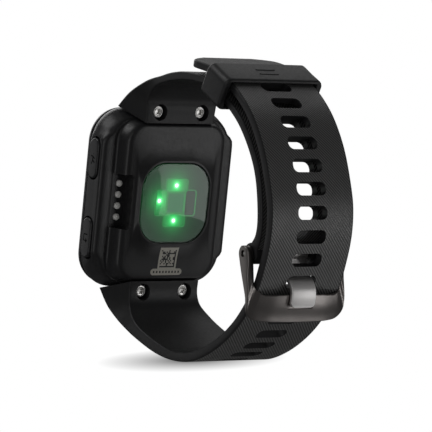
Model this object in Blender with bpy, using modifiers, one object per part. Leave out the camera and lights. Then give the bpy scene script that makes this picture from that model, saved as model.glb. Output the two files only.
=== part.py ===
"""GPS running watch: case, internals, strap, keeper and buckle as separate parts.

Frame: origin at the centre of the front glass's outer face. -Y is the way the display
looks, +Y points to the wrist, +Z to twelve o'clock, +X to the side with the charging
contacts. Every size below is in millimetres, and the helpers turn it into metres.
"""

import math

import bmesh
import bpy
from mathutils import Matrix, Vector

MM = 0.001
OBJECT_NAME = "gps_running_watch"
GAP = 0.3                      # clearance round a piece that sits in its neighbour

# Case: half sizes across (X) and up (Z), and depth stations from the glass (Y)
CASE_HALF_X = 17.6
CASE_HALF_Z = 20.35
CASE_CORNER = 7.5
SPLIT_Y = 2.4                  # where the rear case starts behind the front bezel
CAVITY_TOP_Y = 7.2             # ceiling of the wide cavity under the side ridges
POCKET_TOP_Y = 10.4            # ceiling of the narrow cavity under the back plateau
SHOULDER_Y = 8.5               # flat shoulder on each side of the raised plateau
PLATEAU_Y = 11.65
GLASS_HALF_X = 15.1
GLASS_HALF_Z = 17.7
GLASS_THICKNESS = 1.2

# Optical window and what lies behind it
WINDOW_HALF_X = 9.25
WINDOW_HALF_Z = 9.0
WINDOW_CORNER = 6.0
WINDOW_EDGE_Y = 12.75
WINDOW_TOP_Y = 13.3
EMITTER_OFFSET = 4.0
EMITTER_LONG = 4.4
EMITTER_SHORT = 1.8
PHOTODIODE_SIDE = 3.9

# Charging contacts
CONTACT_X = 12.7
CONTACT_PITCH = 2.54
CONTACT_RADIUS = 0.75
CONTACT_TIP_Y = 8.7
RECESS_FLOOR_Y = 8.2
RECESS_X = (10.97, 14.65)
RECESS_HALF_Z = 6.1
RECESS_CORNER = 1.3
RECESS_MOUTH_X = (13.0, 14.7)

# Vibration motor, lying along X
MOTOR_Y = 7.6
MOTOR_Z = -12.9
MOTOR_RADIUS = 1.6

# Buttons
BUTTON_Y = 5.3
BUTTON_Z = 9.0
BUTTON_LENGTH = 9.1
BUTTON_WIDTH = 3.6
BUTTON_FACE_X = 18.4
BUTTON_BACK_X = 16.4
BUTTON_SLOT_EASE = 0.3
RAIL_X = 18.0
RAIL_Y = 5.5
RAIL_Z = 0.6
SEAL_X = (14.9, 15.5)
SWITCH_X = (13.3, 14.5)

# Strap tabs and their screws
SCREW_X = 5.73
SCREW_Z = 20.4
TONGUE_Y = (7.4, 9.0)
TONGUE_HALF_X = 8.6
TONGUE_START_Z = 17.9
TONGUE_END_Z = 22.1
SCREW_HEAD_RADIUS = 1.45
SCREW_HEAD_Y = (10.0, 10.85)
SHANK_RADIUS = 0.6
INSERT_RADIUS = 1.2
INSERT_BORE = 0.85

# Strap: full half width, its vent slots, and the edge stations further down
STRAP_HALF_X = 11.2
SLOT_LENGTH = 7.8
SLOT_CORNER = 1.3
SLOT_WIDTH = 3.0
SLOT_PITCH = 5.05
LEVEL_SLOT = (62.3, 1.2)       # Y and Z of the lower strap's slot beside the case's middle
SLOTS_TOWARDS_TIP = 8
SLOTS_TOWARDS_CASE = 9         # the prong stands in the second of these
UPPER_SLOTS = 5
UPPER_FIRST_SLOT = (58.9, 5.5)

# Buckle, turning on a spring bar along X
PIN_Y = 57.0
PIN_Z = -3.4
PIN_RADIUS = 0.6
PIN_BORE = 0.75
KNUCKLE_RADIUS = 2.3
ARM_X = (11.5, 13.1)
ARM_RADIUS = 1.75
CROSSBAR_Y = 61.02
CROSSBAR_Z = -14.49
CROSSBAR_TALL = 5.6
CROSSBAR_THICK = 1.6
CROSSBAR_LEAN = math.radians(17.0)
PRONG_SEAT_Y = 61.55           # floor of the crossbar's seat for the prong's tip
PRONG_SEAT_Z = -15.1
PRONG_HALF_X = 3.25
PRONG_THICK = 1.0
PRONG_STATIONS = [(57.9, -4.6), (58.7, -6.7), (59.7, -8.0), (61.2, -9.1), (62.2, -10.5),
                  (62.5, -11.9), (62.45, -13.2), (62.3, -14.5)]

# Keeper loop round both strap layers
KEEPER_Y = 40.46
KEEPER_Z = 30.28
KEEPER_LEAN = math.radians(22.0)
KEEPER_LENGTH = 7.7
KEEPER_HALF_X = 13.2
KEEPER_HALF_THICK = 3.85
KEEPER_WALL = 0.85

# Strap stations: outer edge y, z, inner edge y, z, half width outside and inside
UPPER_STATIONS = [
    (4.3, 20.85, 11.8, 17.95, 12.4, 9.5),
    (7.1, 23.75, 11.8, 20.6, 12.2, 9.5),
    (9.7, 25.75, 12.2, 23.2, 11.9, 9.9),
    (13.7, 28.0, 15.2, 26.2, 11.5, 10.8),
    (17.7, 29.4, 18.6, 27.8, 11.2, 11.2),
    (21.7, 30.7, 22.2, 28.9, 11.2, 11.2),
    (27.0, 31.6, 27.2, 29.8, 11.2, 11.2),
    (34.2, 31.5, 33.9, 29.9, 11.2, 11.2),
    (40.0, 29.9, 39.3, 28.3, 11.2, 11.2),
    (45.3, 27.0, 44.4, 25.6, 11.2, 11.2),
    (50.1, 23.5, 48.9, 22.3, 11.2, 11.2),
    (54.7, 18.3, 53.3, 17.3, 11.2, 11.2),
    (57.7, 12.9, 56.1, 12.2, 11.2, 11.2),
    (59.6, 5.8, 57.9, 5.4, 11.2, 11.2),
    (59.9, 1.0, 58.0, 1.0, 11.2, 11.2),
    (58.9, -2.6, 56.4, -1.6, 11.2, 11.2),
]
LOWER_STATIONS = [
    (3.8, -20.85, 11.8, -17.95, 12.4, 9.5),
    (7.0, -24.2, 11.8, -20.8, 12.2, 9.5),
    (10.3, -26.4, 12.8, -23.3, 11.9, 9.9),
    (14.1, -28.3, 15.6, -25.5, 11.5, 10.8),
    (18.6, -29.9, 19.6, -27.2, 11.2, 11.2),
    (25.5, -31.4, 25.8, -28.8, 11.2, 11.2),
    (32.0, -31.8, 31.8, -29.6, 11.2, 11.2),
    (38.8, -30.7, 38.2, -28.6, 11.2, 11.2),
    (44.8, -28.0, 43.7, -26.3, 11.2, 11.2),
    (50.2, -24.3, 48.9, -22.9, 11.2, 11.2),
    (54.6, -20.2, 53.1, -19.0, 11.2, 11.2),
    (57.9, -15.9, 56.2, -14.9, 11.2, 11.2),
    (60.4, -11.2, 58.6, -10.6, 11.2, 11.2),
    (62.0, -6.2, 60.1, -5.9, 11.2, 11.2),
    (63.25, 0.8, 61.4, 0.7, 11.2, 11.2),
    (62.8, 7.2, 61.05, 6.7, 11.2, 11.2),
    (60.8, 13.0, 59.2, 12.3, 11.2, 11.2),
    (57.3, 19.9, 55.9, 18.9, 11.2, 11.2),
    (52.4, 26.0, 51.2, 24.8, 11.2, 11.2),
    (46.5, 30.4, 45.6, 28.9, 11.2, 11.2),
    (41.0, 32.9, 40.4, 31.2, 11.2, 11.2),
    (35.5, 34.2, 35.2, 32.5, 11.2, 11.2),
    (30.0, 34.7, 29.9, 33.0, 11.2, 11.2),
    (26.9, 34.8, 26.9, 33.2, 7.0, 7.0),
]


# ---------------------------------------------------------------- scene and materials

def clear_scene():
    for obj in list(bpy.data.objects):
        bpy.data.objects.remove(obj, do_unlink=True)


def new_collection(name):
    collection = bpy.data.collections.new(name)
    bpy.context.scene.collection.children.link(collection)
    return collection


clear_scene()
PARTS = new_collection(OBJECT_NAME)
CUTTERS = new_collection("cutters")
MATERIALS = {}

LOOKS = {                      # name: colour, roughness, metallic
    "case_plastic": ((0.018, 0.018, 0.019), 0.42, 0.0),
    "bezel_plastic": ((0.02, 0.02, 0.021), 0.38, 0.0),
    "glass": ((0.01, 0.01, 0.012), 0.05, 0.0),
    "window_plastic": ((0.01, 0.03, 0.015), 0.06, 0.0),
    "silicone": ((0.016, 0.016, 0.017), 0.55, 0.0),
    "seal_rubber": ((0.03, 0.03, 0.03), 0.8, 0.0),
    "buckle_metal": ((0.2, 0.185, 0.175), 0.35, 1.0),
    "steel": ((0.62, 0.62, 0.62), 0.3, 1.0),
    "brass": ((0.7, 0.5, 0.2), 0.35, 1.0),
    "board": ((0.02, 0.1, 0.05), 0.5, 0.0),
    "panel": ((0.12, 0.14, 0.13), 0.25, 0.0),
    "light_guide": ((0.8, 0.82, 0.85), 0.3, 0.0),
    "battery_foil": ((0.5, 0.5, 0.52), 0.4, 0.6),
    "ceramic": ((0.65, 0.6, 0.52), 0.5, 0.0),
    "emitter": ((0.05, 0.8, 0.25), 0.3, 0.0),
    "sensor_chip": ((0.06, 0.05, 0.08), 0.2, 0.0),
    "polyimide": ((0.45, 0.2, 0.03), 0.45, 0.0),
}


def material(name):
    """The Principled material of that name, made once."""
    if name not in MATERIALS:
        colour, roughness, metallic = LOOKS[name]
        made = bpy.data.materials.new(name)
        made.use_nodes = True
        shader = made.node_tree.nodes["Principled BSDF"]
        shader.inputs["Base Color"].default_value = (*colour, 1.0)
        shader.inputs["Roughness"].default_value = roughness
        shader.inputs["Metallic"].default_value = metallic
        MATERIALS[name] = made
    return MATERIALS[name]


# ---------------------------------------------------------------- shape helpers

def add_object(name, mesh, look, collection=None):
    obj = bpy.data.objects.new(name, mesh)
    (collection or PARTS).objects.link(obj)
    if look:
        mesh.materials.append(material(look).copy())
    mesh.shade_smooth()
    mesh.set_sharp_from_angle(angle=math.radians(35))
    return obj


def mesh_from(build):
    """A new mesh filled by build(bm), with its faces turned outwards."""
    bm = bmesh.new()
    build(bm)
    bmesh.ops.recalc_face_normals(bm, faces=bm.faces)
    mesh = bpy.data.meshes.new("mesh")
    bm.to_mesh(mesh)
    bm.free()
    return mesh


def box(name, low, high, look, collection=None):
    """A block between two corners in millimetres."""
    low, high = Vector(low) * MM, Vector(high) * MM
    place = Matrix.Translation((low + high) / 2) @ Matrix.Diagonal((*(high - low), 1.0))
    mesh = mesh_from(lambda bm: bmesh.ops.create_cube(bm, size=1.0, matrix=place))
    return add_object(name, mesh, look, collection)


AXIS_TURNS = {                 # local Z of the primitive turned to this axis
    "X": Matrix.Rotation(math.radians(90), 4, "Y"),
    "Y": Matrix.Rotation(math.radians(-90), 4, "X"),
}


def cylinder(name, centre, radius, length, axis, look, collection=None, sides=24):
    place = Matrix.Translation(Vector(centre) * MM) @ AXIS_TURNS[axis]
    mesh = mesh_from(lambda bm: bmesh.ops.create_cone(
        bm, cap_ends=True, segments=sides, radius1=radius * MM, radius2=radius * MM,
        depth=length * MM, matrix=place))
    return add_object(name, mesh, look, collection)


def rounded_outline(half_a, half_b, radius, steps=5):
    """Points of a rounded rectangle in its own plane, anticlockwise."""
    points = []
    corners = [(1, 1, 0), (-1, 1, 90), (-1, -1, 180), (1, -1, 270)]
    for side_a, side_b, start in corners:
        for step in range(steps + 1):
            angle = math.radians(start + 90 * step / steps)
            points.append((side_a * (half_a - radius) + radius * math.cos(angle),
                           side_b * (half_b - radius) + radius * math.sin(angle)))
    return points


PLANES = {                     # an outline's local x, y and thickness in world axes
    "XZ": Matrix(((1, 0, 0, 0), (0, 0, -1, 0), (0, 1, 0, 0), (0, 0, 0, 1))),
    "YZ": Matrix(((0, 0, 1, 0), (1, 0, 0, 0), (0, 1, 0, 0), (0, 0, 0, 1))),
}


def extruded(name, points, thickness, place, look, collection=None):
    """A flat outline made as a filled 2D curve, given thickness, and turned into a mesh."""
    curve = bpy.data.curves.new(name, "CURVE")
    curve.dimensions = "2D"
    curve.fill_mode = "BOTH"
    curve.extrude = thickness * MM / 2
    spline = curve.splines.new("POLY")
    spline.points.add(len(points) - 1)
    for point, (a, b) in zip(spline.points, points):
        point.co = (a * MM, b * MM, 0.0, 1.0)
    spline.use_cyclic_u = True
    holder = bpy.data.objects.new(name + "_outline", curve)
    bpy.context.scene.collection.objects.link(holder)
    holder.matrix_world = place
    depsgraph = bpy.context.evaluated_depsgraph_get()
    flat = bpy.data.meshes.new_from_object(holder.evaluated_get(depsgraph))
    mesh = mesh_from(lambda bm: weld_into(bm, flat))
    bpy.data.objects.remove(holder, do_unlink=True)
    obj = add_object(name, mesh, look, collection)
    obj.matrix_world = place
    return obj


def weld_into(bm, mesh):
    bm.from_mesh(mesh)
    bmesh.ops.remove_doubles(bm, verts=bm.verts, dist=1e-6)


def plate(name, half_x, half_z, radius, y_range, look, collection=None, centre=(0.0, 0.0)):
    """A rounded plate square to Y, between two depths."""
    middle = Vector((centre[0], (y_range[0] + y_range[1]) / 2, centre[1])) * MM
    place = Matrix.Translation(middle) @ PLANES["XZ"]
    outline = rounded_outline(half_x, half_z, radius)
    return extruded(name, outline, y_range[1] - y_range[0], place, look, collection)


def side_plate(name, half_y, half_z, radius, x_range, centre, look, collection=None):
    """A rounded plate square to X, between two X positions."""
    middle = Vector(((x_range[0] + x_range[1]) / 2, centre[0], centre[1])) * MM
    place = Matrix.Translation(middle) @ PLANES["YZ"]
    outline = rounded_outline(half_y, half_z, radius)
    return extruded(name, outline, abs(x_range[1] - x_range[0]), place, look, collection)


def loft(name, rings, look, collection=None):
    """A closed body through rings of equal point count, given in millimetres."""
    def build(bm):
        rows = [[bm.verts.new(Vector(point) * MM) for point in ring] for ring in rings]
        for near, far in zip(rows, rows[1:]):
            for i in range(len(near)):
                j = (i + 1) % len(near)
                bm.faces.new((near[i], near[j], far[j], far[i]))
        bm.faces.new(rows[0])
        bm.faces.new(rows[-1])
    return add_object(name, mesh_from(build), look, collection)


def plan_ring(half_x, half_z, radius, y):
    return [(a, y, b) for a, b in rounded_outline(half_x, half_z, radius)]


def combine(obj, cutter, operation):
    """Cut obj by, or join it to, a helper body that stays out of the finished object."""
    cutter.hide_render = True
    cutter.display_type = "WIRE"
    boolean = obj.modifiers.new(operation.lower(), "BOOLEAN")
    boolean.operation = operation
    boolean.solver = "EXACT"
    boolean.object = cutter


def cut(obj, cutter):
    combine(obj, cutter, "DIFFERENCE")


def join(obj, helper):
    combine(obj, helper, "UNION")


def smooth_path(stations, steps):
    """Catmull-Rom points through the stations, keeping the first and last."""
    count = len(stations)
    dense = []
    for i in range(count - 1):
        around = [stations[max(i - 1, 0)], stations[i], stations[i + 1],
                  stations[min(i + 2, count - 1)]]
        for step in range(steps):
            t = step / steps
            dense.append(tuple(catmull_rom(*values, t) for values in zip(*around)))
    dense.append(tuple(stations[-1]))
    return dense


def catmull_rom(a, b, c, d, t):
    return 0.5 * (2 * b + (c - a) * t + (2 * a - 5 * b + 4 * c - d) * t ** 2
                  + (3 * b - a - 3 * c + d) * t ** 3)


# ---------------------------------------------------------------- case and front

def make_rear_case():
    """Bucket that is the sides and the back: bullnose walls, side groove, raised plateau."""
    rings = [
        plan_ring(17.3, 20.1, CASE_CORNER, SPLIT_Y),
        plan_ring(CASE_HALF_X, CASE_HALF_Z, CASE_CORNER, 4.0),
        plan_ring(CASE_HALF_X, 19.65, CASE_CORNER, 6.4),
        plan_ring(17.3, 19.15, CASE_CORNER - 0.4, 7.6),
        plan_ring(16.5, 18.9, CASE_CORNER - 0.8, 8.3),
        plan_ring(14.5, 18.75, CASE_CORNER - 1.7, SHOULDER_Y),
        plan_ring(13.8, 18.15, CASE_CORNER - 2.6, 10.2),
        plan_ring(13.2, 17.7, CASE_CORNER - 3.1, 11.2),
        plan_ring(12.2, 17.3, CASE_CORNER - 3.3, PLATEAU_Y),
    ]
    case = loft("rear_case", rings, "case_plastic")
    dome = [
        plan_ring(11.9, 15.6, 4.6, PLATEAU_Y - 0.25),
        plan_ring(10.6, 12.8, 5.4, 12.05),
        plan_ring(9.8, 9.75, WINDOW_CORNER + 0.4, WINDOW_EDGE_Y),
    ]
    join(case, loft("dome", dome, None, CUTTERS))
    for side in (1, -1):
        join(case, loft("side_rail", side_rail(side), None, CUTTERS))
    for side in (1, -1):
        low_z, high_z = sorted((side * TONGUE_START_Z, side * TONGUE_END_Z))
        join(case, box("lug_tongue", (-TONGUE_HALF_X, TONGUE_Y[0], low_z),
                       (TONGUE_HALF_X, TONGUE_Y[1], high_z), None, CUTTERS))
    cut(case, plate("wide_cavity", 15.8, 17.9, 5.8, (1.0, CAVITY_TOP_Y), None, CUTTERS))
    cut(case, plate("plateau_cavity", 9.0, 15.5, 2.0, (6.0, POCKET_TOP_Y), None, CUTTERS))
    cut(case, plate("window_opening", 7.5, 7.2, 4.5, (9.0, 13.0), None, CUTTERS))
    cut(case, plate("window_recess", WINDOW_HALF_X + GAP, WINDOW_HALF_Z + GAP, WINDOW_CORNER + GAP,
                    (11.3, 15.0), None, CUTTERS))
    cut_contact_recess(case)
    for z in contact_heights():
        cut(case, cylinder("contact_hole", (CONTACT_X, 7.6, z), CONTACT_RADIUS + GAP, 2.4, "Y",
                           None, CUTTERS, sides=16))
    for side_x, side_z in corners():
        cut(case, button_cutter(side_x, side_z))
        cut(case, cylinder("insert_hole", (side_x * SCREW_X, 8.2, side_z * SCREW_Z),
                           INSERT_RADIUS + GAP, 4.0, "Y", None, CUTTERS, sides=20))
    return case


def side_rail(side):
    """Raised band along one side wall that holds that side's two buttons."""
    stations = [(15.6, 3.05, 14.4), (17.4, 3.0, 14.1), (RAIL_X, 2.45, 13.6)]
    return [[(side * x, RAIL_Y + a, RAIL_Z + b) for a, b in rounded_outline(half_y, half_z, 1.0)]
            for x, half_y, half_z in stations]


def cut_contact_recess(case):
    """Flat-floored notch in the plateau's edge, rounded inside and open to the shoulder."""
    low_x, high_x = RECESS_X
    cut(case, plate("contact_recess", (high_x - low_x) / 2, RECESS_HALF_Z, RECESS_CORNER,
                    (RECESS_FLOOR_Y, 13.0), None, CUTTERS, centre=((low_x + high_x) / 2, 0.0)))
    cut(case, box("contact_recess_mouth", (RECESS_MOUTH_X[0], RECESS_FLOOR_Y, -RECESS_HALF_Z),
                  (RECESS_MOUTH_X[1], 13.0, RECESS_HALF_Z), None, CUTTERS))


def corners():
    """The four sign pairs of the case's quarters."""
    return [(1, 1), (1, -1), (-1, 1), (-1, -1)]


def contact_heights():
    return [CONTACT_PITCH * (i - 1.5) for i in range(4)]


def make_front():
    bezel_rings = [
        plan_ring(15.6, 18.5, 6.0, 0.0),
        plan_ring(16.6, 19.4, 6.9, 0.5),
        plan_ring(17.2, 20.0, 7.4, 1.3),
        plan_ring(17.3, 20.1, CASE_CORNER, SPLIT_Y - GAP),
    ]
    bezel = loft("front_bezel", bezel_rings, "bezel_plastic")
    cut(bezel, plate("glass_seat", GLASS_HALF_X + GAP, GLASS_HALF_Z + GAP, 5.5,
                     (-1.0, GLASS_THICKNESS + GAP), None, CUTTERS))
    cut(bezel, plate("display_opening", 14.2, 16.8, 4.6, (0.0, 3.0), None, CUTTERS))
    plate("front_lens", GLASS_HALF_X, GLASS_HALF_Z, 5.2, (0.0, GLASS_THICKNESS), "glass")
    gasket = plate("case_gasket", 15.5, 17.6, 5.5, (2.45, 2.95), "seal_rubber")
    cut(gasket, plate("gasket_opening", 14.7, 16.8, 4.7, (2.0, 3.4), None, CUTTERS))
    plate("lcd_panel", 12.8, 14.8, 1.0, (1.5, 2.3), "panel")
    plate("light_guide", 12.4, 14.4, 1.0, (2.6, 3.1), "light_guide")


def make_window():
    """Slightly domed clear cover over the optical sensor."""
    rings = [
        plan_ring(WINDOW_HALF_X, WINDOW_HALF_Z, WINDOW_CORNER, 11.6),
        plan_ring(WINDOW_HALF_X, WINDOW_HALF_Z, WINDOW_CORNER, WINDOW_EDGE_Y),
        plan_ring(8.2, 7.95, 5.4, 13.05),
        plan_ring(6.4, 6.2, 4.4, 13.22),
        plan_ring(3.6, 3.5, 2.6, WINDOW_TOP_Y),
    ]
    loft("sensor_window", rings, "window_plastic")


# ---------------------------------------------------------------- buttons and contacts

def button_cutter(side_x, side_z):
    half_y = BUTTON_WIDTH / 2 + BUTTON_SLOT_EASE
    half_z = BUTTON_LENGTH / 2 + BUTTON_SLOT_EASE
    return side_plate("button_hole", half_y, half_z, half_y - 0.01, (side_x * 15.0, side_x * 20.0),
                      (BUTTON_Y, side_z * BUTTON_Z), None, CUTTERS)


BUTTON_NAMES = {(1, 1): "run", (1, -1): "back", (-1, 1): "light", (-1, -1): "page"}


def make_buttons():
    for (side_x, side_z), label in BUTTON_NAMES.items():
        centre = (BUTTON_Y, side_z * BUTTON_Z)
        half = BUTTON_WIDTH / 2
        cap = side_plate("button_cap_" + label, half, BUTTON_LENGTH / 2, half - 0.01,
                         (side_x * BUTTON_BACK_X, side_x * BUTTON_FACE_X), centre, "case_plastic")
        edge = cap.modifiers.new("edge", "BEVEL")
        edge.width = 0.3 * MM
        edge.segments = 1
        edge.limit_method = "ANGLE"
        edge.angle_limit = math.radians(60)
        side_plate("button_seal_" + label, 1.5, 4.9, 1.49, (side_x * SEAL_X[0], side_x * SEAL_X[1]),
                   centre, "seal_rubber")
        low_x, high_x = sorted((side_x * SWITCH_X[0], side_x * SWITCH_X[1]))
        box("tactile_switch_" + label, (low_x, 4.4, side_z * BUTTON_Z - 1.7),
            (high_x, 6.4, side_z * BUTTON_Z + 1.7), "steel")


def make_contacts():
    for number, z in enumerate(contact_heights(), start=1):
        profile = [(0.0, CONTACT_TIP_Y), (CONTACT_RADIUS - 0.25, CONTACT_TIP_Y),
                   (CONTACT_RADIUS, CONTACT_TIP_Y - 0.25), (CONTACT_RADIUS, 6.6), (0.0, 6.6)]
        turned("charge_contact_" + str(number), profile, (CONTACT_X, 0.0, z), "steel", 16)
    box("contact_block", (10.8, 5.5, -5.4), (14.4, 6.3, 5.4), "case_plastic")


def turned(name, profile, centre, look, sides):
    """A turned piece: radius and depth along Y, spun by a Screw modifier."""
    def build(bm):
        points = [bm.verts.new(Vector((radius, 0.0, -depth)) * MM) for radius, depth in profile[::-1]]
        for near, far in zip(points, points[1:]):
            bm.edges.new((near, far))
    mesh = bpy.data.meshes.new(name)
    bm = bmesh.new()
    build(bm)
    bm.to_mesh(mesh)
    bm.free()
    obj = add_object(name, mesh, look)
    obj.location = Vector(centre) * MM
    obj.rotation_euler = (math.radians(90), 0.0, 0.0)
    screw = obj.modifiers.new("turn", "SCREW")
    screw.steps = sides
    screw.render_steps = sides
    screw.use_merge_vertices = True
    screw.merge_threshold = 1e-6
    screw.use_normal_calculate = True
    return obj


# ---------------------------------------------------------------- electronics

def make_electronics():
    frame = plate("display_frame", 14.8, 15.4, 4.0, (3.4, 4.0), "steel")
    cut(frame, plate("frame_window", 11.0, 12.5, 1.0, (3.0, 4.3), None, CUTTERS))
    plate("main_board", 12.9, 15.7, 3.0, (4.4, 5.2), "board")
    plate("battery_cell", 8.4, 8.4, 0.8, (5.6, 8.9), "battery_foil", centre=(0.0, -1.0))
    plate("gps_antenna", 4.5, 2.5, 0.3, (5.6, 7.4), "ceramic", centre=(0.0, 12.2))
    plate("sensor_board", 7.8, 7.6, 1.0, (9.3, 10.0), "board")
    make_sensor()
    make_motor()
    make_display_flex()


def make_sensor():
    """Four emitters round a photodiode, each in its own well of the black mask."""
    mask = plate("optical_mask", 7.2, 6.9, 4.2, (10.4, 11.3), "seal_rubber")
    wells = {
        "green_led_top": (0.0, EMITTER_OFFSET, EMITTER_LONG, EMITTER_SHORT),
        "green_led_bottom": (0.0, -EMITTER_OFFSET, EMITTER_LONG, EMITTER_SHORT),
        "green_led_side": (EMITTER_OFFSET, 0.0, EMITTER_SHORT, EMITTER_LONG),
        "spare_emitter": (-EMITTER_OFFSET, 0.0, EMITTER_SHORT, EMITTER_LONG),
        "photodiode": (0.0, 0.0, PHOTODIODE_SIDE, PHOTODIODE_SIDE),
    }
    for name, (x, z, size_x, size_z) in wells.items():
        look = "emitter" if name.startswith("green") else "sensor_chip"
        box(name, (x - size_x / 2, 10.35, z - size_z / 2), (x + size_x / 2, 10.95, z + size_z / 2), look)
        half_x = size_x / 2 + GAP
        half_z = size_z / 2 + GAP
        well = box(name + "_well", (x - half_x, 10.0, z - half_z), (x + half_x, 11.6, z + half_z),
                   None, CUTTERS)
        cut(mask, well)


def make_motor():
    """Small motor lying along X whose off-centre weight shakes the watch."""
    can = cylinder("vibration_motor_can", (-2.5, MOTOR_Y, MOTOR_Z), MOTOR_RADIUS, 7.0, "X", "steel")
    cut(can, cylinder("shaft_bore", (0.0, MOTOR_Y, MOTOR_Z), 0.5, 3.0, "X", None, CUTTERS, 16))
    weight = cylinder("vibration_motor_weight", (3.2, 0.0, 0.0), 1.5, 2.6, "X", "brass")
    weight.location = Vector((0.0, MOTOR_Y, MOTOR_Z)) * MM
    half = box("weight_half", (1.5, -3.0, -3.0), (5.0, 0.0, 3.0), None, CUTTERS)
    shaft = cylinder("motor_shaft", (2.2, 0.0, 0.0), 0.4, 4.2, "X", None, CUTTERS, 16)
    for helper in (half, shaft):
        helper.location = Vector((0.0, MOTOR_Y, MOTOR_Z)) * MM
    cut(weight, half)
    join(weight, shaft)


def make_display_flex():
    """Ribbon that turns round the frame's lower edge from the panel to the board."""
    path = [(1.9, -15.1), (2.0, -15.7), (2.8, -16.3), (4.2, -16.3), (4.8, -16.05)]
    rings = []
    for half_x in (-4.0, 4.0):
        outside = [(half_x, y, z) for y, z in path]
        inside = [(half_x, y + shift_y, z + shift_z) for (y, z), (shift_y, shift_z) in
                  zip(path, [(0.2, 0.0), (0.15, 0.12), (0.08, 0.18), (-0.08, 0.18), (-0.15, 0.12)])]
        rings.append(outside + inside[::-1])
    loft("display_flex", rings, "polyimide")


# ---------------------------------------------------------------- straps

def strap_body(name, stations):
    """A band lofted through its stations, wider outside than inside near the case."""
    rings = []
    for out_y, out_z, in_y, in_z, half_out, half_in in smooth_path(stations, 2):
        rings.append([(half_out, out_y, out_z), (-half_out, out_y, out_z),
                      (-half_in, in_y, in_z), (half_in, in_y, in_z)])
    return loft(name, rings, "silicone")


def midline(stations):
    return [((s[0] + s[2]) / 2, (s[1] + s[3]) / 2) for s in smooth_path(stations, 4)]


def distance_to(path, y, z):
    """How far along the path its nearest point to (y, z) lies."""
    travelled, best, found = 0.0, math.inf, 0.0
    for near, far in zip(path, path[1:]):
        length = math.dist(near, far)
        dir_y, dir_z = (far[0] - near[0]) / length, (far[1] - near[1]) / length
        along = min(length, max(0.0, (y - near[0]) * dir_y + (z - near[1]) * dir_z))
        reach = math.dist((near[0] + dir_y * along, near[1] + dir_z * along), (y, z))
        if reach < best:
            best, found = reach, travelled + along
        travelled += length
    return found


def point_along(path, distance):
    """Position and direction at a distance along the path."""
    for near, far in zip(path, path[1:]):
        length = math.dist(near, far)
        if distance <= length:
            share = distance / length
            position = tuple(a + (b - a) * share for a, b in zip(near, far))
            direction = tuple((b - a) / length for a, b in zip(near, far))
            return position, direction
        distance -= length
    raise ValueError("the strap ends before that distance")


def cut_slots(strap, path, distances):
    for distance in distances:
        (y, z), (dir_y, dir_z) = point_along(path, distance)
        place = Matrix(((1, 0, 0, 0), (0, dir_y, -dir_z, y * MM),
                        (0, dir_z, dir_y, z * MM), (0, 0, 0, 1)))
        outline = rounded_outline(SLOT_LENGTH / 2, SLOT_WIDTH / 2, SLOT_CORNER, 3)
        cut(strap, extruded("vent_slot", outline, 6.0, place, None, CUTTERS))


def cut_strap_tab(strap, side):
    """Pocket for the case's tongue, and the two stepped screw holes."""
    low_z, high_z = sorted((side * 16.0, side * (TONGUE_END_Z + GAP)))
    half_x = TONGUE_HALF_X + GAP
    cut(strap, box("tongue_pocket", (-half_x, TONGUE_Y[0] - GAP, low_z),
                   (half_x, TONGUE_Y[1] + GAP, high_z), None, CUTTERS))
    for side_x in (1, -1):
        x, z = side_x * SCREW_X, side * SCREW_Z
        cut(strap, cylinder("head_hole", (x, 11.7, z), SCREW_HEAD_RADIUS + 0.4, 4.0, "Y", None, CUTTERS))
        cut(strap, cylinder("shank_hole", (x, 10.0, z), SHANK_RADIUS + GAP, 3.0, "Y", None, CUTTERS, 16))


def make_straps():
    upper = strap_body("strap_upper", UPPER_STATIONS)
    cut_strap_tab(upper, 1)
    path = midline(UPPER_STATIONS)
    first = distance_to(path, *UPPER_FIRST_SLOT)
    cut_slots(upper, path, [first - SLOT_PITCH * i for i in range(UPPER_SLOTS)])
    join(upper, cylinder("knuckle", (0.0, PIN_Y, PIN_Z), KNUCKLE_RADIUS, 2 * STRAP_HALF_X, "X",
                         None, CUTTERS, 32))
    notch_half = PRONG_HALF_X + 0.75
    cut(upper, box("prong_notch", (-notch_half, PIN_Y - 3.0, PIN_Z - 3.0),
                   (notch_half, PIN_Y + 3.2, PIN_Z + 2.3), None, CUTTERS))
    cut(upper, cylinder("pin_bore", (0.0, PIN_Y, PIN_Z), PIN_BORE, 30.0, "X", None, CUTTERS))

    lower = strap_body("strap_lower", LOWER_STATIONS)
    cut_strap_tab(lower, -1)
    path = midline(LOWER_STATIONS)
    level = distance_to(path, *LEVEL_SLOT)
    cut_slots(lower, path, [level + SLOT_PITCH * i
                            for i in range(-SLOTS_TOWARDS_CASE, SLOTS_TOWARDS_TIP + 1)])


def make_screws():
    for side_x, side_z in corners():
        label = ("upper" if side_z > 0 else "lower") + ("_contact_side" if side_x > 0 else "_far_side")
        x, z = side_x * SCREW_X, side_z * SCREW_Z
        profile = [(0.0, SCREW_HEAD_Y[1] - 0.5), (0.65, SCREW_HEAD_Y[1] - 0.5), (0.65, SCREW_HEAD_Y[1]),
                   (SCREW_HEAD_RADIUS - 0.2, SCREW_HEAD_Y[1]),
                   (SCREW_HEAD_RADIUS, SCREW_HEAD_Y[1] - 0.2), (SCREW_HEAD_RADIUS, SCREW_HEAD_Y[0]),
                   (SHANK_RADIUS, SCREW_HEAD_Y[0]), (SHANK_RADIUS, 7.5), (0.0, 7.5)]
        turned("strap_screw_" + label, profile, (x, 0.0, z), "steel", 20)
        insert = cylinder("threaded_insert_" + label, (x, 8.2, z), INSERT_RADIUS, 1.4, "Y", "brass",
                          sides=20)
        cut(insert, cylinder("insert_bore", (x, 8.2, z), INSERT_BORE, 3.0, "Y", None, CUTTERS, 20))


# ---------------------------------------------------------------- buckle and keeper

def lean_frame(y, z, lean):
    """Local x stays X, local y points down the leaning piece, local z points outwards."""
    return (Matrix.Translation(Vector((0.0, y, z)) * MM)
            @ Matrix.Rotation(lean, 4, "X") @ PLANES["XZ"])


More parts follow.
